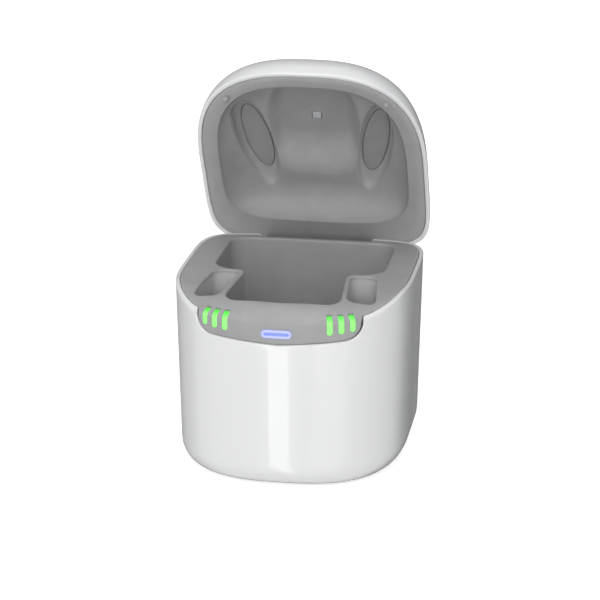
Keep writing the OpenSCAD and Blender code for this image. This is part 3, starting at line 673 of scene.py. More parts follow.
for hole in openings:
    tray.grid([on_tray(*hole.T, depth) for depth in (0.0, 0.5, 1.6)])
for hole in openings[:-1]:
    tray.field(lambda p: on_tray(*p.T, 1.6),
               [hole], lattice(hole.min(0), hole.max(0), (0.6, 0.9)), 0.3)
print("band sheets:", len(tray.points))

# %% [markdown]
# Inside the band a field of triangles takes over, with the well and the slots as holes in it.
# It starts from the band's own ring of points, so the join is invisible once the doubles are
# merged. Well and slots are rows of one outline each: over a rounded edge, down and round to
# the floor, where the well has a grille over the heater.

# %% Deck, well and slots
WELL = [(-28.7, 32.0), (-28.7, -4.4), (-16.9, -4.9), (-19.1, -35.0), (0.0, -36.2),
        (19.1, -35.0), (16.9, -4.9), (28.7, -4.4), (28.7, 32.0)]
SLOT = [(18.3, -6.5), (20.6, -31.6), (29.9, -30.2), (27.2, -6.5)]


def pocket(sheets, loop, out, depth, top_r=0.45, low_r=1.4):
    """Rows from the deck over a rounded edge, down a wall and round to the floor."""
    rows = [(top_r * (1 - sin(a)), -top_r * (1 - cos(a))) for a in steps]
    rows += [(0.0, z) for z in np.linspace(-1.5, -depth + low_r + 0.5, 6)]
    rows += [(-low_r * (1 - cos(a)), -depth + low_r * (1 - sin(a))) for a in steps]
    tall = deck_height(loop + out * top_r)
    rows = [level(loop + out * grow, z + tall * max(0.0, 1 + z / 6)) for grow, z in rows]
    sheets.grid(rows)
    return rows[0][:, :2], rows[-1][:, :2]


well, well_out = rounded(WELL, [6, 8, 3.4, 5, 6, 5, 3.4, 8, 6])
well_rim, well_floor = pocket(tray, well, well_out, WELL_DEPTH)
slot, slot_out = rounded(SLOT, [3.0, 2.6, 3.0, 3.6], step=0.3)
slots = []
for side in (1, -1):
    loop, out = (slot * [side, 1])[::side], (slot_out * [side, 1])[::side]
    rim, low = pocket(tray, loop, out, SLOT_DEPTH)
    slots.append(rim)
    tray.field(lambda p: level(p, -SLOT_DEPTH),
               [low], lattice(low.min(0), low.max(0), (1.2, 1.2)), 0.4)
vents = [rounded(np.array(box(0.8, 11, -11)) + [3.2 * i, -4.0], 0.5, step=0.8)[0]
         for i in range(-4, 5)]
tray.field(lambda p: level(p, -WELL_DEPTH),
           [well_floor] + vents, lattice((-30, -38), (30, 32), (2, 2)), 0.6)
for vent in vents:
    tray.grid([level(vent, z) for z in (-WELL_DEPTH, -WELL_DEPTH - 1.4)])
ring_xy = on_tray(ring_arc[:-1], inner_v[:-1])[:, :2]
tray.field(lambda p: level(p, deck_height(p)),
           [ring_xy, well_rim] + slots, lattice((-36, -41), (36, 35), (0.9, 0.9)), 0.4)
# The housing of the button's switch shows as a low box at the well's front wall
housing, housing_out = rounded(box(9, -33.4, -36.9), 1.0)
rows = [level(housing + housing_out * grow, z) for grow, z in
        ((-0.9, -5.0), (-0.5, -5.05), (-0.15, -5.3), (0, -5.8), (0, 0.1 - WELL_DEPTH))]
tray.grid(rows).disc(rows[0])
grey_tray = tray.piece("grey_tray", "cup", "deck_tray", weld=0.01, toward=(0, 0, 1), wall=0.8)

# %% [markdown]
# The three green bars on each side are one clear moulding that carries light to the panel.
# They fill their openings, follow the panel's curve over the crease, and stop short of the
# opening's end. The button is a pill-shaped cap whose sunk middle holds a lit blue bar.

# %% Light bars, button and its lit bar
light_bars = []
for name, side in (("left", -1), ("right", 1)):
    guide = Sheets()
    for x in BAR_X * side:
        loop = bar_loop(x, 0.0, BAR_WRAP - BAR_MOUTH)
        small = swell(loop, -0.16)
        flat, triangles = fill([small], lattice(loop.min(0), loop.max(0), (0.4, 0.28)), 0.16)
        guide.add(on_tray(*flat.T, -0.02), triangles)
        guide.grid([on_tray(*small.T, -0.02), on_tray(*((small + loop * 3) / 4).T, 0.03),
                    on_tray(*loop.T, 0.16), on_tray(*loop.T, 1.2)])
        guide.add(on_tray(*flat.T, 1.2), triangles)
        guide.grid([on_tray(*loop.T, 1.2), on_tray(*small.T, 1.2)])
    light_bars.append(guide.piece(name + "_light_bars", "cup", name + "_light_guide"))


def press(loop, rows):
    """Rows of a pill in the button's plane, each grown by so much and set so far back."""
    n = side_normals(loop, closed=True)
    return [columns(loop[:, 0] + n[:, 0] * g, BUTTON_Y + y, loop[:, 1] + n[:, 1] * g - BUTTON_DROP)
            for g, y in rows]


face = pill(BUTTON_W, BUTTON_H / 2, 24)
cap_rows = [(-0.6, 4.0), (0, 4.0), (0, 0.3)]
cap_rows += [(-0.3 * (1 - cos(a)), 0.3 * (1 - sin(a))) for a in steps[1:]]
cap_rows += [(-0.78, 0.0), (-0.86, 0.03), (-0.93, 0.12), (-0.95, 0.2), (-0.95, 0.9)]
cap = Sheets().tube(press(face, cap_rows))
power_cap = cap.piece("power_button_cap", "button", "power_button", weld=0.002)
lit = Sheets().tube(press(face, [(-1.0, 0.85), (-1.0, 0.2), (-1.05, 0.12), (-1.14, 0.1)]))
lit_bar = lit.piece("button_lit_bar", "button", "button_light_bar", weld=0.002)

# %% [markdown]
# The lid's white shell is a dome. Its section is nearly a quarter circle at the side, under a
# flat top, so that one function of angle and turn gives both its skins. The rim between the
# skins is rounded in small steps, and stands back where the hinge passes.

# %% Lid shell
LID_RISE, LID_RUN, LID_EDGE_R = 19.0, 18.0, 0.45


def dome(angle, turn, s0, rise, run):
    """Point of a dome: inset s0 + run (1 - cos turn), height from seam to rise by sin turn."""
    return level(inset_egg(angle, s0 + run * (1 - np.cos(turn))),
                 SEAM + (rise - SEAM) * np.sin(turn))


angle = np.interp(np.linspace(0, ROUND, 480, endpoint=False), DENSE_ARC, DENSE)
base = inset_egg(angle)
inner_edge = np.where((np.abs(base[:, 0]) < NOTCH_HALF) & (base[:, 1] > 0), 1.75, SEAM)
lip = soften(inner_edge, 3) - SEAM
rows = []
for turn in np.linspace(0.02, pi / 2, 34)[::-1]:
    row = dome(angle, turn, 0.0, LID_RISE, LID_RUN)
    row[:, 2] = np.maximum(row[:, 2], SEAM + LID_EDGE_R + lip)
    rows.append(row)
for a in quarter(6)[1:]:
    xy = inset_egg(angle, LID_EDGE_R * (1 - cos(a)))
    rows.append(level(xy, SEAM + lip + LID_EDGE_R * (1 - sin(a))))
for a in quarter(5):
    xy = inset_egg(angle, WALL - INNER_R * cos(a))
    rows.append(level(xy, SEAM + lip + INNER_R * (1 - sin(pi / 2 - a))))
for turn in np.linspace(0.06, pi / 2, 26):
    row = dome(angle, turn, WALL, LID_RISE - WALL, LID_RUN)
    row[:, 2] = np.maximum(row[:, 2], SEAM + 0.3 + lip)
    rows.append(row)
lid_cover = Sheets().tube(rows).piece("lid_dome", "lid", "lid_shell", lid=True, weld=0.002)

# %% [markdown]
# The liner is the hard one: a bowl with a soft floor, a deeper middle and two flared oval
# pockets. Each hollow is a family of rings, so its depth at any point of the plan is found by
# halving the interval of ring numbers that hold the point. The deepest hollow wins, blended by
# a smooth maximum where two meet, which rounds the ridge between them. A solid modeller would
# need many thin lofts for these blends, and a height field has them for nothing.

# %% Depth of the liner's hollows
BOWL, BOWL_DEPTH, SHOULDER = (32.2, 25.3, 37.8), 15.5, 9.4
PAD_AT, PAD_LEAN, PAD_TURN = (20.54, -4.48, 11.63), radians(1.1), radians(10.5)
PAD_HALF, POCKET_RISE, MIDDLE_Y = (4.5, 15.0), 9.0, -8.0
BOWL_POWERS, NO_DEPTH = (4.3, 2.9), -5.0
BLEND_R, POCKET_BLEND_R = 3.0, 0.45


def floor_turn(f):
    """How far a quarter circle has turned in at a share f of its depth."""
    return 1 - np.sqrt(np.clip(1 - f * f, 0, 1))


def bowl_reach(f):
    """Half width, back and front of the bowl at a share f of its depth, with its powers."""
    q = floor_turn(f)
    return (BOWL[0] - 3.2 * f - 10 * q, BOWL[1] - 2.8 * f - 8 * q, BOWL[2] - 1.8 * f - 6 * q,
            BOWL_POWERS)


def middle_reach(g):
    """The same for the deeper middle, about a centre that lies further forward."""
    q = floor_turn(g)
    return (BOWL[0] * (0.505 - 0.068 * g - 0.134 * q),
            BOWL[1] * (0.672 - 0.356 * g - 0.257 * q) + 2.5,
            BOWL[2] * (0.873 - 0.032 * g - 0.087 * q) + MIDDLE_Y, (3, 3))


def share_at(points, reach):
    """Largest share whose ring still holds each point, below 0 outside every ring."""
    low, _ = halve(np.zeros(len(points)), np.ones(len(points)), 18,
                   lambda share: egg_value(points, *reach(share)) >= 1)
    return np.where(low > 1e-4, low, -0.02)


def pocket_size(h):
    """Half axes of the pocket's oval at a rise h over its floor: they flare out quickly near
    the floor and hardly further up, by 1 - exp(-h / 1.4), and far more at the ends."""
    w = 1.1 * (1 - np.exp(-h / 1.4))
    return PAD_HALF[0] + 1.5 * w, PAD_HALF[1] + 6.3 * w


def pocket_ring(t, a, b, h, side):
    """Oval of these half axes at a rise h over the floor, in the pocket's leaning, turned axes,
    as plan points and heights."""
    qx, qy = a * np.cos(t), b * np.sin(t)
    px = qx * cos(PAD_TURN) - qy * sin(PAD_TURN)
    y = qx * sin(PAD_TURN) + qy * cos(PAD_TURN) + PAD_AT[1]
    z = PAD_AT[2] - px * sin(PAD_LEAN) - h * cos(PAD_LEAN)
    x = side * (px * cos(PAD_LEAN) - h * sin(PAD_LEAN) + PAD_AT[0])
    return columns(x, y, z)


def pocket_depth(points, side):
    """Height of the pocket's skin over plan points, from the rise at which the oval reaches
    them. Inside the pad's oval the floor drops into the seat that the pad lies in."""
    x, y = points[:, 0] * side - PAD_AT[0], points[:, 1] - PAD_AT[1]

    def radius(rise, a, b):
        px = (x + rise * sin(PAD_LEAN)) / cos(PAD_LEAN)
        qx = px * cos(PAD_TURN) + y * sin(PAD_TURN)
        qy = -px * sin(PAD_TURN) + y * cos(PAD_TURN)
        return (qx / a) ** 2 + (qy / b) ** 2

    _, high = halve(np.zeros(len(points)), np.full(len(points), POCKET_RISE), 16,
                    lambda rise: radius(rise, *pocket_size(rise)) < 1)
    px = (x + high * sin(PAD_LEAN)) / cos(PAD_LEAN)
    z = PAD_AT[2] - px * sin(PAD_LEAN) - high * cos(PAD_LEAN)
    seat = radius(high, *PAD_HALF) < 0.985
    z = np.where(seat & (high < 0.01), z + 0.9, z)
    return np.where(high > POCKET_RISE - 0.001, NO_DEPTH, z)


def smooth_max(a, b, r):
    """The larger of two heights, with a round of about r where they are equal."""
    h = np.clip(0.5 + (a - b) / (2 * r), 0, 1)
    return a * h + b * (1 - h) + r * h * (1 - h)


def liner_z(points):
    """Height of the liner's visible skin at plan points of the closed lid."""
    f = share_at(points, bowl_reach)
    g = share_at(points - [0, MIDDLE_Y], middle_reach)
    z = SEAM + np.clip(f, 0, 1) * (SHOULDER - SEAM)
    deep = np.where(g > 0, (0.45 + 0.55 * g) * BOWL_DEPTH, NO_DEPTH)
    z = np.where(f > 0, smooth_max(z, deep, BLEND_R * np.clip(f / 0.3, 0.1, 1)), z)
    for side in (1, -1):
        z = np.where(f > 0, smooth_max(z, pocket_depth(points, side), POCKET_BLEND_R), z)
    return z


print("deepest point of the liner: %.2f mm" % liner_z(np.array([[0.0, -5.0]]))[0])

# %% [markdown]
# A height field shows jagged steps where it is steep unless its points lie along the form. So
# the field takes the rings of each hollow as points first, keeps only those that are part of
# the visible skin, and fills the rest with an even grid.

# %% Grey liner of the lid
LIP_R, SIDE_R, WINDOW_R = 0.45, 0.3, 0.25
t = np.linspace(0, 2 * pi, 260, endpoint=False)
mouth = egg(t, *bowl_reach(0.0))
normal = side_normals(mouth, closed=True)
aligned = []
for f in (0.03, 0.09, 0.18, 0.3, 0.44, 0.58, 0.7, 0.8, 0.88, 0.94, 0.985):
    ring = egg(t, *bowl_reach(f))
    z = SEAM + f * (SHOULDER - SEAM)
    aligned.append(ring[np.abs(liner_z(ring) - z) < 0.15])
for side in (1, -1):
    for scale in (0.975, 0.99):
        ring = pocket_ring(t, scale * PAD_HALF[0], scale * PAD_HALF[1], 0.0, side)
        aligned.append(ring[:, :2])
    for h in (0.0, 0.03, 0.1, 0.22, 0.4, 0.65, 1.0, 1.5, 2.1, 2.8, 3.6, 4.6, 5.8, 7.2):
        a, b = pocket_size(h)
        ring = pocket_ring(t, a, b, h, side)
        aligned.append(ring[np.abs(liner_z(ring[:, :2]) - ring[:, 2]) < 0.3][:, :2])
    # Rings just outside the pocket's steepest wall carry the ridge between it and the bowl
    for past in (0.1, 0.24, 0.42, 0.65, 0.95, 1.3):
        ring = pocket_ring(t, a + past, b + past, h, side)[:, :2]
        aligned.append(ring[share_at(ring, bowl_reach) > 0])
aligned = np.vstack(aligned)
grid = lattice((-33, -38.5), (33, 26), (0.6, 0.6))
inner = np.vstack([aligned, grid[far_from(grid, aligned, 0.3)]])
window, window_out = rounded(box(1.7, -9.6, -13.0), 0.3, step=0.3)
window_rim = window + window_out * WINDOW_R
inset_mouth = mouth - normal * 0.02
liner = Sheets().field(lambda p: level(p, liner_z(p)), [inset_mouth, window_rim], inner, 0.2)
floor_z = float(liner_z(window_rim).mean())
rows = [level(window + window_out * WINDOW_R * (1 - sin(a)), floor_z + WINDOW_R * (1 - cos(a)))
        for a in steps]
rows.append(level(window, floor_z + 1.4))
liner.grid(rows).disc(rows[-1])
turned = np.arctan2(mouth[:, 1], mouth[:, 0]) % (2 * pi)
rows = [level(inset_mouth, liner_z(inset_mouth))]
rows += [level(mouth + normal * LIP_R * (1 - cos(a)), SEAM + LIP_R * (1 - sin(a)))
         for a in steps]
rows.append(level((mouth + normal * LIP_R + inset_egg(turned, TRAY_IN)) / 2, SEAM))
rows += [level(inset_egg(turned, TRAY_IN + SIDE_R * cos(a)), SEAM + SIDE_R * (1 - cos(a)))
         for a in steps]
rows.append(level(inset_egg(turned, TRAY_IN), SEAM + 1.2))
liner.grid(rows)
# The lid's inner side looks down when closed, so forwards and down when it stands open
grey_liner = liner.piece("lid_bowl", "lid", "lid_liner", lid=True, weld=0.012, sharp=50,
                         toward=(0, -sin(LID_OPEN), -cos(LID_OPEN)), wall=0.9)

# %% [markdown]
# The hinge block belongs to the same moulding as the liner: a web, a barrel round the pin and
# a heel that stops the lid. Each is a rounded section drawn along x, and it reaches into the
# liner so that they read as one piece. Each pocket holds an oval pad with a rounded edge and a
# fine dark gap round it.

# %% Hinge block and pads
def along_x(section, x0, x1):
    """A section in (y, z) carried along x, its ends rounded by shrinking it about its middle."""
    return [columns(x, *swell(section, grow).T) for x, grow in round_ends(x0, x1, 0.3)]


web = rounded([(34.3, -12), (37.45, -12), (37.45, 1.6), (34.3, 1.6)], 0.4, step=0.8)[0]
t = np.linspace(0, 2 * pi, 72, endpoint=False)
barrel = columns(HINGE_Y + BARREL_R * np.cos(t), -HINGE_DROP + BARREL_R * np.sin(t))
heel = rounded([(0.02, -4.8), (2.02, -4.8), (2.02, 0), (0.02, 0)], 0.35, step=0.6)[0]
c, s = cos(LID_OPEN), sin(LID_OPEN)
heel = heel @ np.array([[c, s], [-s, c]]) + [HINGE_Y, -HINGE_DROP]
block = Sheets()
for section in (web, barrel, heel):
    block.tube(along_x(section, 0.3 - NOTCH_HALF, NOTCH_HALF - 0.3))
hinge_block = block.piece("lid_hinge_block", "lid", "lid_liner", lid=True, weld=0.002)

PAD_ROWS = [(-0.28, -0.85), (-0.28, -0.08), (-0.31, 0.0), (-0.38, 0.04), (-0.6, 0.06),
            (-1.2, 0.08), (-2.4, 0.1), (-3.6, 0.1)]  # growth of the oval, rise over the floor
pads = []
for name, side in (("left", -1), ("right", 1)):
    rows = [pocket_ring(t, PAD_HALF[0] + grow, PAD_HALF[1] + grow, rise, side)
            for grow, rise in PAD_ROWS]
    pads.append(Sheets().tube(rows).piece(name + "_pad", "lid", name + "_pocket_pad", lid=True,
                                          weld=0.002))

# %% [markdown]
# Materials are node graphs, and shader maths reads badly as a list of node calls. So a small
# class wraps a socket and lets it be added and multiplied like a number. Colours and vectors
# take other nodes than values do, because a Math node would turn a colour grey.

# %% A socket to calculate with
class Wire:
    def __init__(self, tree, socket=None):
        self.tree, self.socket = tree, socket

    def node(self, kind, settings=None, out=0, **inputs):
        """One output of a new node: its settings come first, then its inputs by name, or by
        number after an underscore."""
        made = self.tree.nodes.new("ShaderNode" + kind)
        for key, value in (settings or {}).items():
            setattr(made, key, value)
        for key, value in inputs.items():
            slot = made.inputs[int(key[1:]) if key[1:].isdigit() else key.replace("_", " ")]
            if isinstance(value, Wire):
                self.tree.links.new(value.socket, slot)
            else:
                slot.default_value = value
        return Wire(self.tree, made.outputs[out] if made.outputs else None)

    def parts(self):
        """All outputs of the node that this one comes from."""
        return [Wire(self.tree, socket) for socket in self.socket.node.outputs]

    def math(self, operation, a, b=0.0):
        """Values go through Math, and vectors or colours through Vector Math."""
        kinds = [w.socket.type for w in (a, b) if isinstance(w, Wire)]
        if any(kind in ("VECTOR", "RGBA") for kind in kinds):
            if not isinstance(b, Wire) and np.isscalar(b):
                b = (b, b, b)
            return self.node("VectorMath", {"operation": operation}, _0=a, _1=b)
        return self.node("Math", {"operation": operation}, _0=a, _1=b)

    def __add__(self, other):
        return self.math("ADD", self, other)

    def __sub__(self, other):
        return self.math("SUBTRACT", self, other)

    def __rsub__(self, other):
        return self.math("SUBTRACT", other, self)

    def __mul__(self, other):
        return self.math("MULTIPLY", self, other)

    __radd__, __rmul__ = __add__, __mul__

    def mixed(self, low, high):
        """Colour between two colours, this value being the share of the second."""
        return self.node("Mix", {"data_type": "RGBA", "clamp_factor": True}, 2,
                         Factor=self, _6=low, _7=high)

    def ranged(self, low, high, out_low, out_high):
        """This value's range mapped on another range."""
        return self.node("MapRange", Value=self, From_Min=low, From_Max=high,
                         To_Min=out_low, To_Max=out_high)

    def evened(self):
        """The middle of a noise's range spread over 0 to 1."""
        return self.ranged(0.3, 0.7, 0.0, 1.0)


print("sockets can be calculated with")

# %% [markdown]
# All finishes start from the same shader and differ in a few noises. What varies over a piece
# is wired in, and what doesn't is a number on the shader itself.

# %% Parts of a finish
def colour(r, g=None, b=None):
    """A colour with alpha 1. A single value gives a grey."""
    return (r, r if g is None else g, r if b is None else b, 1.0)


def finish_of(name, base, rough, **sockets):
    """A Principled material, the place on the object as a wire, and the shader. Constant
    numbers are set on the shader's own sockets."""
    material = bpy.data.materials.new(name)
    material.use_nodes = True
    shader = material.node_tree.nodes["Principled BSDF"]
    shader.inputs["Base Color"].default_value = base
    shader.inputs["Roughness"].default_value = rough
    for key, value in sockets.items():
        shader.inputs[key.replace("_", " ")].default_value = value
    return material, Wire(material.node_tree).node("TexCoord", out="Object"), shader


def noise(place, scale, detail=2.0, rough=0.5):
    """A noise of a value for each point, its cells 1 / scale metres wide."""
    return place.node("TexNoise", Vector=place, Scale=scale, Detail=detail, Roughness=rough)


def feed(shader, **wires):
    """Link wires to the shader's sockets of these names."""
    for key, value in wires.items():
        value.tree.links.new(value.socket, shader.inputs[key.replace("_", " ")])


def bump(shader, height, strength, distance):
    """Lift the shading by a height, the distance being that of a height of 1 in metres."""
    feed(shader, Normal=height.node("Bump", Height=height, Strength=strength, Distance=distance))


def put(material, *things, slot=None):
    """Give objects, or CAD nodes by name, this material in every slot. The slot argument is not
    used."""
    for thing in things:
        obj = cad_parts[thing] if isinstance(thing, str) else thing
        slot and not isinstance(thing, str)
        if not obj.material_slots:
            obj.data.materials.append(material)
        for place in obj.material_slots:
            place.material = material


print("shader helpers are ready")

# %% [markdown]
# The white shell is glossy ABS. Real gloss plastic is never a perfect mirror: its surface
# waves a little over centimetres, and its gloss has faint cloudy spots from the mould and from
# hands. A coat gives the sharp highlight. One slow noise makes the waves, another the clouds,
# and a very fine one lies over the waves as grain.

# %% White gloss plastic
white, place, shader = finish_of("white_gloss_plastic", colour(0.78, 0.782, 0.785), 0.24,
                                 Coat_Weight=0.6, Coat_Roughness=0.03)
wave = noise(place, 28, 1.0)
cloud = noise(place, 60, 2.0, 0.4)
grain = noise(place, 5200, 1.0)
paint = cloud.mixed(colour(0.770, 0.773, 0.776), colour(0.790, 0.793, 0.796))
feed(shader, Base_Color=paint, Roughness=cloud.ranged(0.0, 1.0, 0.2, 0.28))
bump(shader, wave + grain * 0.004, 0.2, 0.0004)
put(white, white_cup, lid_cover, slot="white_shell")
print("white plastic is on", white_cup.name, "and", lid_cover.name)

# %% [markdown]
# The grey parts are moulded with a fine spark-eroded texture, so they shine softly. The grain
# is a Voronoi field of about a quarter of a millimetre. It drives a bump and also the
# roughness, and a slow noise keeps large faces from looking computed. The upper walls of the
# two aid slots are lit paler than the rest of the tray, and that light is painted: a soft
# mask of place gives them a paler grey that fades with depth.

# %% Grey satin plastic, three shades
def painted_slot_light(place):
    """Share of painted light: 1 on the upper walls of the aid slots, fading with depth, and 0
    elsewhere. Each slot leans inwards along y, and the deck beside it falls towards the front."""
    x, y, z = place.node("SeparateXYZ", Vector=place).parts()
    beside = (x.math("ABSOLUTE", x) + y * 0.082).ranged(0.0163, 0.0168, 0.0, 1.0)
    along = y.ranged(-0.0398, -0.0390, 0.0, 1.0) * y.ranged(-0.0118, -0.0124, 0.0, 1.0)
    depth = y.ranged(-0.0385, -0.0300, 0.0612, 0.0630) - z
    below = depth.ranged(0.0, 0.001, 0.0, 1.0) * depth.ranged(0.005, 0.012, 1.0, 0.3)
    return beside * along * below


def satin(name, shade, rough, slot_light_grey=None):
    """Grained plastic of one grey, with painted light on the slots' walls if wanted."""
    material, place, shader = finish_of(name, colour(shade), rough)
    spots = place.node("TexVoronoi", {"feature": "SMOOTH_F1"}, Vector=place, Scale=3800)
    slow = noise(place, 160, 3.0)
    paint = slow.evened().mixed(colour(shade * 0.96),
                                colour(shade * 1.04, shade * 1.04, shade * 1.045))
    if slot_light_grey:
        # Painted light: a paler grey on the slots' upper walls, fading with depth
        paint = painted_slot_light(place).mixed(paint, colour(slot_light_grey))
    feed(shader, Base_Color=paint,
         Roughness=(slow * 0.1 + spots * 0.12).ranged(0.04, 0.16, rough - 0.05, rough + 0.05))
    bump(shader, spots + noise(place, 1500) * 0.5, 0.22, 0.00008)
    return material


# The tray's slot walls get a painted light of grey 0.55
put(satin("grey_satin_plastic", 0.352, 0.4, slot_light_grey=0.55), grey_tray, slot="grey_satin")
put(satin("grey_satin_plastic_lid", 0.342, 0.42), grey_liner, hinge_block, "lid_stops",
    slot="grey_satin")
put(satin("grey_pad", 0.30, 0.46), *pads, slot="grey_pad")
print("grey plastic is on tray, liner and pads")

# %% [markdown]
# A lit light guide glows by itself, a little unevenly, and where it turns over the edge of the
# deck less light comes out, so that it shows a deeper green there. The glow is emission, and
# the plastic keeps a gloss of its own. The button's cap is only tinted by the light behind it.

# %% Lit green and blue
def lit_plastic(name, base, glow, strength, deep=None):
    """Plastic lit from behind, with a deeper colour where it is higher than the panel."""
    material, place, shader = finish_of(name, base, 0.25, Emission_Strength=strength)
    slow = noise(place, 300, 1.0).evened()
    light = slow.mixed(colour(*(c * 0.92 for c in glow)), colour(*glow))
    if deep:
        high = place.node("SeparateXYZ", out="Z", Vector=place).ranged(0.0590, 0.0602, 0.0, 1.0)
        light = high.mixed(light, colour(*deep))
        feed(shader, Base_Color=high.mixed(base, colour(*(c * 0.6 for c in deep))))
    feed(shader, Emission_Color=light)
    return material


put(lit_plastic("lit_green", colour(0.18, 0.74, 0.13), (0.30, 1.0, 0.22), 0.6,
                deep=(0.05, 0.92, 0.02)), *light_bars, slot="green_lit")
put(lit_plastic("lit_blue", colour(0.2, 0.26, 0.75), (0.25, 0.33, 0.95), 0.3), lit_bar,
    slot="blue_lit")
put(lit_plastic("lit_lavender", colour(0.46, 0.51, 0.9), (0.46, 0.5, 1.0), 0.2), power_cap,
    slot="pale_button")
print("lit pieces:", len(light_bars) + 2)

# %% [markdown]
# The inner parts are seldom seen, but an open box shows them. Metal gets its brushing from a
# noise stretched along one axis, rubber its dull speckle, and a circuit board its fine tracks
# from a brick pattern under the green lacquer.

# %% Metals, rubber, boards and the rest
def metal(name, base, rough, stretch):
    """Metal whose fine lines run across the axis that is scaled most."""
    material, place, shader = finish_of(name, base, rough, Metallic=1.0)
    lines = noise(place.node("Mapping", Vector=place, Scale=stretch), 900)
    feed(shader, Roughness=lines.ranged(0.3, 0.7, rough - 0.08, rough + 0.1))
    bump(shader, lines, 0.12, 0.00005)
    return material


def speckled(name, base, rough, scale, **sockets):
    """A dull finish whose colour, roughness and height vary with one fine noise."""
    material, place, shader = finish_of(name, base, rough, **sockets)
    spots = noise(place, scale, 3.0)
    dark = colour(*(c * 0.85 for c in base[:3]))
    light = colour(*(min(1, c * 1.12) for c in base[:3]))
    feed(shader, Base_Color=spots.evened().mixed(dark, light),
         Roughness=spots.ranged(0.3, 0.7, rough - 0.06, rough + 0.06))
    bump(shader, spots, 0.3, 0.00008)
    return material


put(metal("brushed_steel", colour(0.62, 0.62, 0.63), 0.28, (1, 1, 12)),
    "cover_screws", "board_screws", "hinge_pin", "power_inlet")
put(metal("nickel_plate", colour(0.7, 0.69, 0.66), 0.2, (4, 4, 1)),
    "catch_magnets", "lid_magnets")
put(metal("copper_winding", colour(0.72, 0.36, 0.2), 0.35, (1, 1, 20)),
    "left_charging_coil", "right_charging_coil")
put(metal("aluminium_fins", colour(0.75, 0.76, 0.77), 0.35, (10, 1, 1)), "heater")
put(speckled("black_rubber", colour(0.035, 0.035, 0.037), 0.75, 2600), "rubber_feet")
put(speckled("black_nylon", colour(0.03, 0.03, 0.032), 0.5, 3200),
    "button_switch", "fan_frame", "board_chips")
put(speckled("dark_grey_nylon", colour(0.09, 0.09, 0.095), 0.45, 3200), "fan_rotor")
put(speckled("light_grey_abs", colour(0.45, 0.455, 0.46), 0.45, 3600), "bottom_cover")
put(speckled("sintered_bronze", colour(0.45, 0.27, 0.13), 0.45, 5200, Metallic=1.0),
    "hinge_bushings")
put(speckled("lamp_phosphor", colour(0.85, 0.8, 0.45), 0.35, 4000), "uv_led")
put(speckled("white_lamp_body", colour(0.8, 0.82, 0.8), 0.3, 4000), "status_leds")
board, place, shader = finish_of("green_circuit_board", colour(0.02, 0.13, 0.05), 0.3)
tracks, gaps = place.node("TexBrick", {"offset": 0.37, "squash": 0.8}, Vector=place, Scale=420,
                          Color1=colour(0.018, 0.12, 0.045), Color2=colour(0.03, 0.17, 0.065),
                          Mortar=colour(0.012, 0.085, 0.03), Mortar_Size=0.03).parts()[:2]
feed(shader, Base_Color=tracks)
bump(shader, gaps, 0.2, 0.00005)
put(board, "main_board", "switch_board", "status_light_boards", "uv_board")
glass, place, shader = finish_of("frosted_window", colour(0.55, 0.57, 0.58), 0.12, IOR=1.46,
                                 Coat_Weight=0.3)
feed(shader, Roughness=noise(place, 1800).ranged(0.3, 0.7, 0.08, 0.2))
put(glass, "uv_window")
print("materials:", len(bpy.data.materials))

# %% [markdown]
# The camera was worked out from the photograph: where the rim, the slots and the lid fall in
# the picture fixes its direction and its lens. It stands well back, so the lens is long. The
# focal length is known in pixels of the picture, and a sensor of 36 mm turns it into a lens.

# %% Camera
AZIMUTH, ELEVATION, FOCAL_PX, PHOTO_PX, SENSOR = radians(9.53), radians(18.04), 2389.13, 600, 36
camera = add_object("camera", bpy.data.cameras.new("camera"))
camera.location = (0.12624, -0.75699, 0.29985)
camera.rotation_euler = (pi / 2 - ELEVATION, 0, AZIMUTH)
camera.data.lens, camera.data.sensor_width = FOCAL_PX * SENSOR / PHOTO_PX, SENSOR
camera.data.clip_start, camera.data.clip_end = 0.01, 20
camera.data.dof.use_dof = False
bpy.context.scene.camera = camera
bpy.context.scene.view_settings.view_transform = "Standard"
print("the lens is %.1f mm long" % camera.data.lens)

# %% [markdown]
# The object stands on white paper that ends nowhere in the picture. The paper takes a soft
# shadow, and a glow that only the camera sees lifts it to white further out. Upright gloss
# walls would mirror the paper right up to the object, where it is darkest. So rays of gloss
# pass through it and find the white world instead.

# %% Paper floor
def bare(owner):
    """The emptied node tree of a material or world, in a wrapper."""
    owner.use_nodes = True
    owner.node_tree.nodes.clear()
    return Wire(owner.node_tree)


def rays_to_white(here):
    """1 for rays of the camera, of gloss and through clear parts, and 1 for gloss alone."""
    ray = {wire.socket.name: wire for wire in here.node("LightPath").parts()}
    gloss = ray["Is Glossy Ray"]
    seen = here.math("MAXIMUM", ray["Is Camera Ray"], gloss)
    return here.math("MAXIMUM", seen, ray["Is Transmission Ray"]), gloss


def stage_piece(name, corners, faces, material):
    """A mesh that belongs to the stage and not to the object."""
    mesh = bpy.data.meshes.new(name)
    mesh.from_pydata(corners, [], faces)
    obj = add_object(name, mesh)
    put(material, obj)
    return obj


paper = bpy.data.materials.new("white_paper")
here = bare(paper)
seen, gloss = rays_to_white(here)
matte = here.node("BsdfDiffuse", Color=colour(0.86))
from_middle = here.node("VectorMath", {"operation": "LENGTH"}, "Value",
                        _0=here.node("TexCoord", out="Object"))
glow = here.node("Emission", Color=colour(1.0),
                 Strength=from_middle.ranged(0.3, 1.2, 0.62, 0.98))
lifted = here.node("MixShader", _0=seen, _1=matte, _2=here.node("AddShader", _0=matte, _1=glow))
through = here.node("MixShader", _0=gloss, _1=lifted, _2=here.node("BsdfTransparent"))
here.node("OutputMaterial", _0=through)
stage_piece("floor", [(-4, -4, 0), (4, -4, 0), (4, 4, 0), (-4, 4, 0)], [(0, 1, 2, 3)], paper)
print("the floor is 8 m square")

# %% [markdown]
# The world is plain white where it is seen, by the camera or in a gloss, and gives only a weak
# and slightly cool light of its own. If it lit the object as brightly as it looks, no side
# would be darker than another.

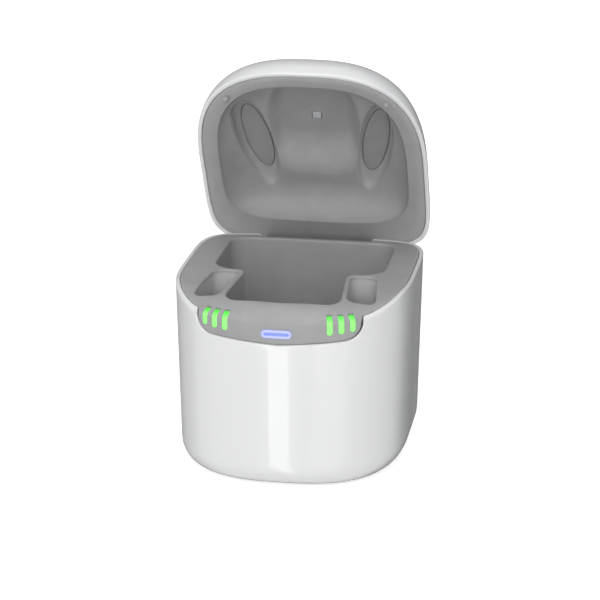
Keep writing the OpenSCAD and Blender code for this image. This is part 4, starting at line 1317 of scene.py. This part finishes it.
# %% World
world = bpy.data.worlds.new("studio")
bpy.context.scene.world = world
here = bare(world)
seen, _ = rays_to_white(here)
weak = here.node("Background", Color=colour(0.97, 0.98, 1.0), Strength=0.25)
plain = here.node("Background", Color=colour(1.0), Strength=1.0)
here.node("OutputWorld", _0=here.node("MixShader", _0=seen, _1=weak, _2=plain))
print("the world is white to camera and gloss")

# %% [markdown]
# A product photo on white uses large soft boxes. The key box stands in front, a little to the
# right and high. It has no mirror image, because the photo shows none: the upright strip of
# light on the cup comes from a narrow box of its own. A broad one on the right, a weak one on
# the left, one above and one behind fill the rest.

# %% Soft boxes
AIM = Vector((0, 0, 0.06))


def soft_box(name, azimuth, elevation, distance, energy, size, size_y=None):
    """A soft box seen from the object at an azimuth from the front and an elevation."""
    a, e = radians(azimuth), radians(elevation)
    data = bpy.data.lights.new(name, "AREA")
    data.shape, data.size, data.size_y = "RECTANGLE", size, size_y or size
    data.energy = energy
    lamp = add_object(name, data)
    lamp.location = Vector((sin(a) * cos(e), -cos(a) * cos(e), sin(e))) * distance + AIM
    lamp.rotation_euler = (AIM - lamp.location).to_track_quat("-Z", "Y").to_euler()
    return lamp


soft_box("key_front", 6, 28, 1.4, 7.9, 0.9).visible_glossy = False
soft_box("broad_right", 26, 0, 0.9, 1.6, 0.62, 1.2)
soft_box("fill_left", -75, 15, 0.9, 0.85, 0.5)
soft_box("overhead", 0, 85, 0.8, 2.1, 0.6)
soft_box("soft_back", 180, 20, 1.2, 2.4, 0.8)
soft_box("strip_front", -9.2, 0, 0.9, 2.0, 0.066, 2.4)
print("lamps:", len(bpy.data.lights))

# %% [markdown]
# In the photo both sides of the cup turn dark before its edge, though the background is white.
# A studio does this with grey cards beside the object. Here one curved card stands behind it,
# darkest straight behind and paler towards its ends. Only the object's gloss can see it.

# %% Grey card
CARD_R, CARD_COLS = 0.9, 40
turn, tall = np.meshgrid(np.radians(np.linspace(108, 268, CARD_COLS)), [-1.2, 0.9])
bend = columns(np.sin(turn) * CARD_R, -np.cos(turn) * CARD_R, tall).reshape(-1, 3)
low = np.arange(CARD_COLS - 1)
strips = columns(low, low + 1, low + CARD_COLS + 1, low + CARD_COLS)
card_grey = bpy.data.materials.new("card_grey")
here = bare(card_grey)
across = here.node("SeparateXYZ", Vector=here.node("TexCoord", out="Object"))
shade = here.math("MAXIMUM", across.ranged(0.45, 0.85, 0.12, 1.0),
                  across.ranged(-0.9, 0.2, 0.5, 0.12))
here.node("OutputMaterial", _0=here.node("Emission", Color=colour(1.0), Strength=shade))
grey_card = stage_piece("grey_card", bend.tolist(), strips.tolist(), card_grey)
grey_card.visible_camera = grey_card.visible_diffuse = grey_card.visible_shadow = False
print("the card has", len(strips), "strips")

# %% [markdown]
# Last, the view layer is brought up to date.

# %% Finish
bpy.context.view_layer.update()
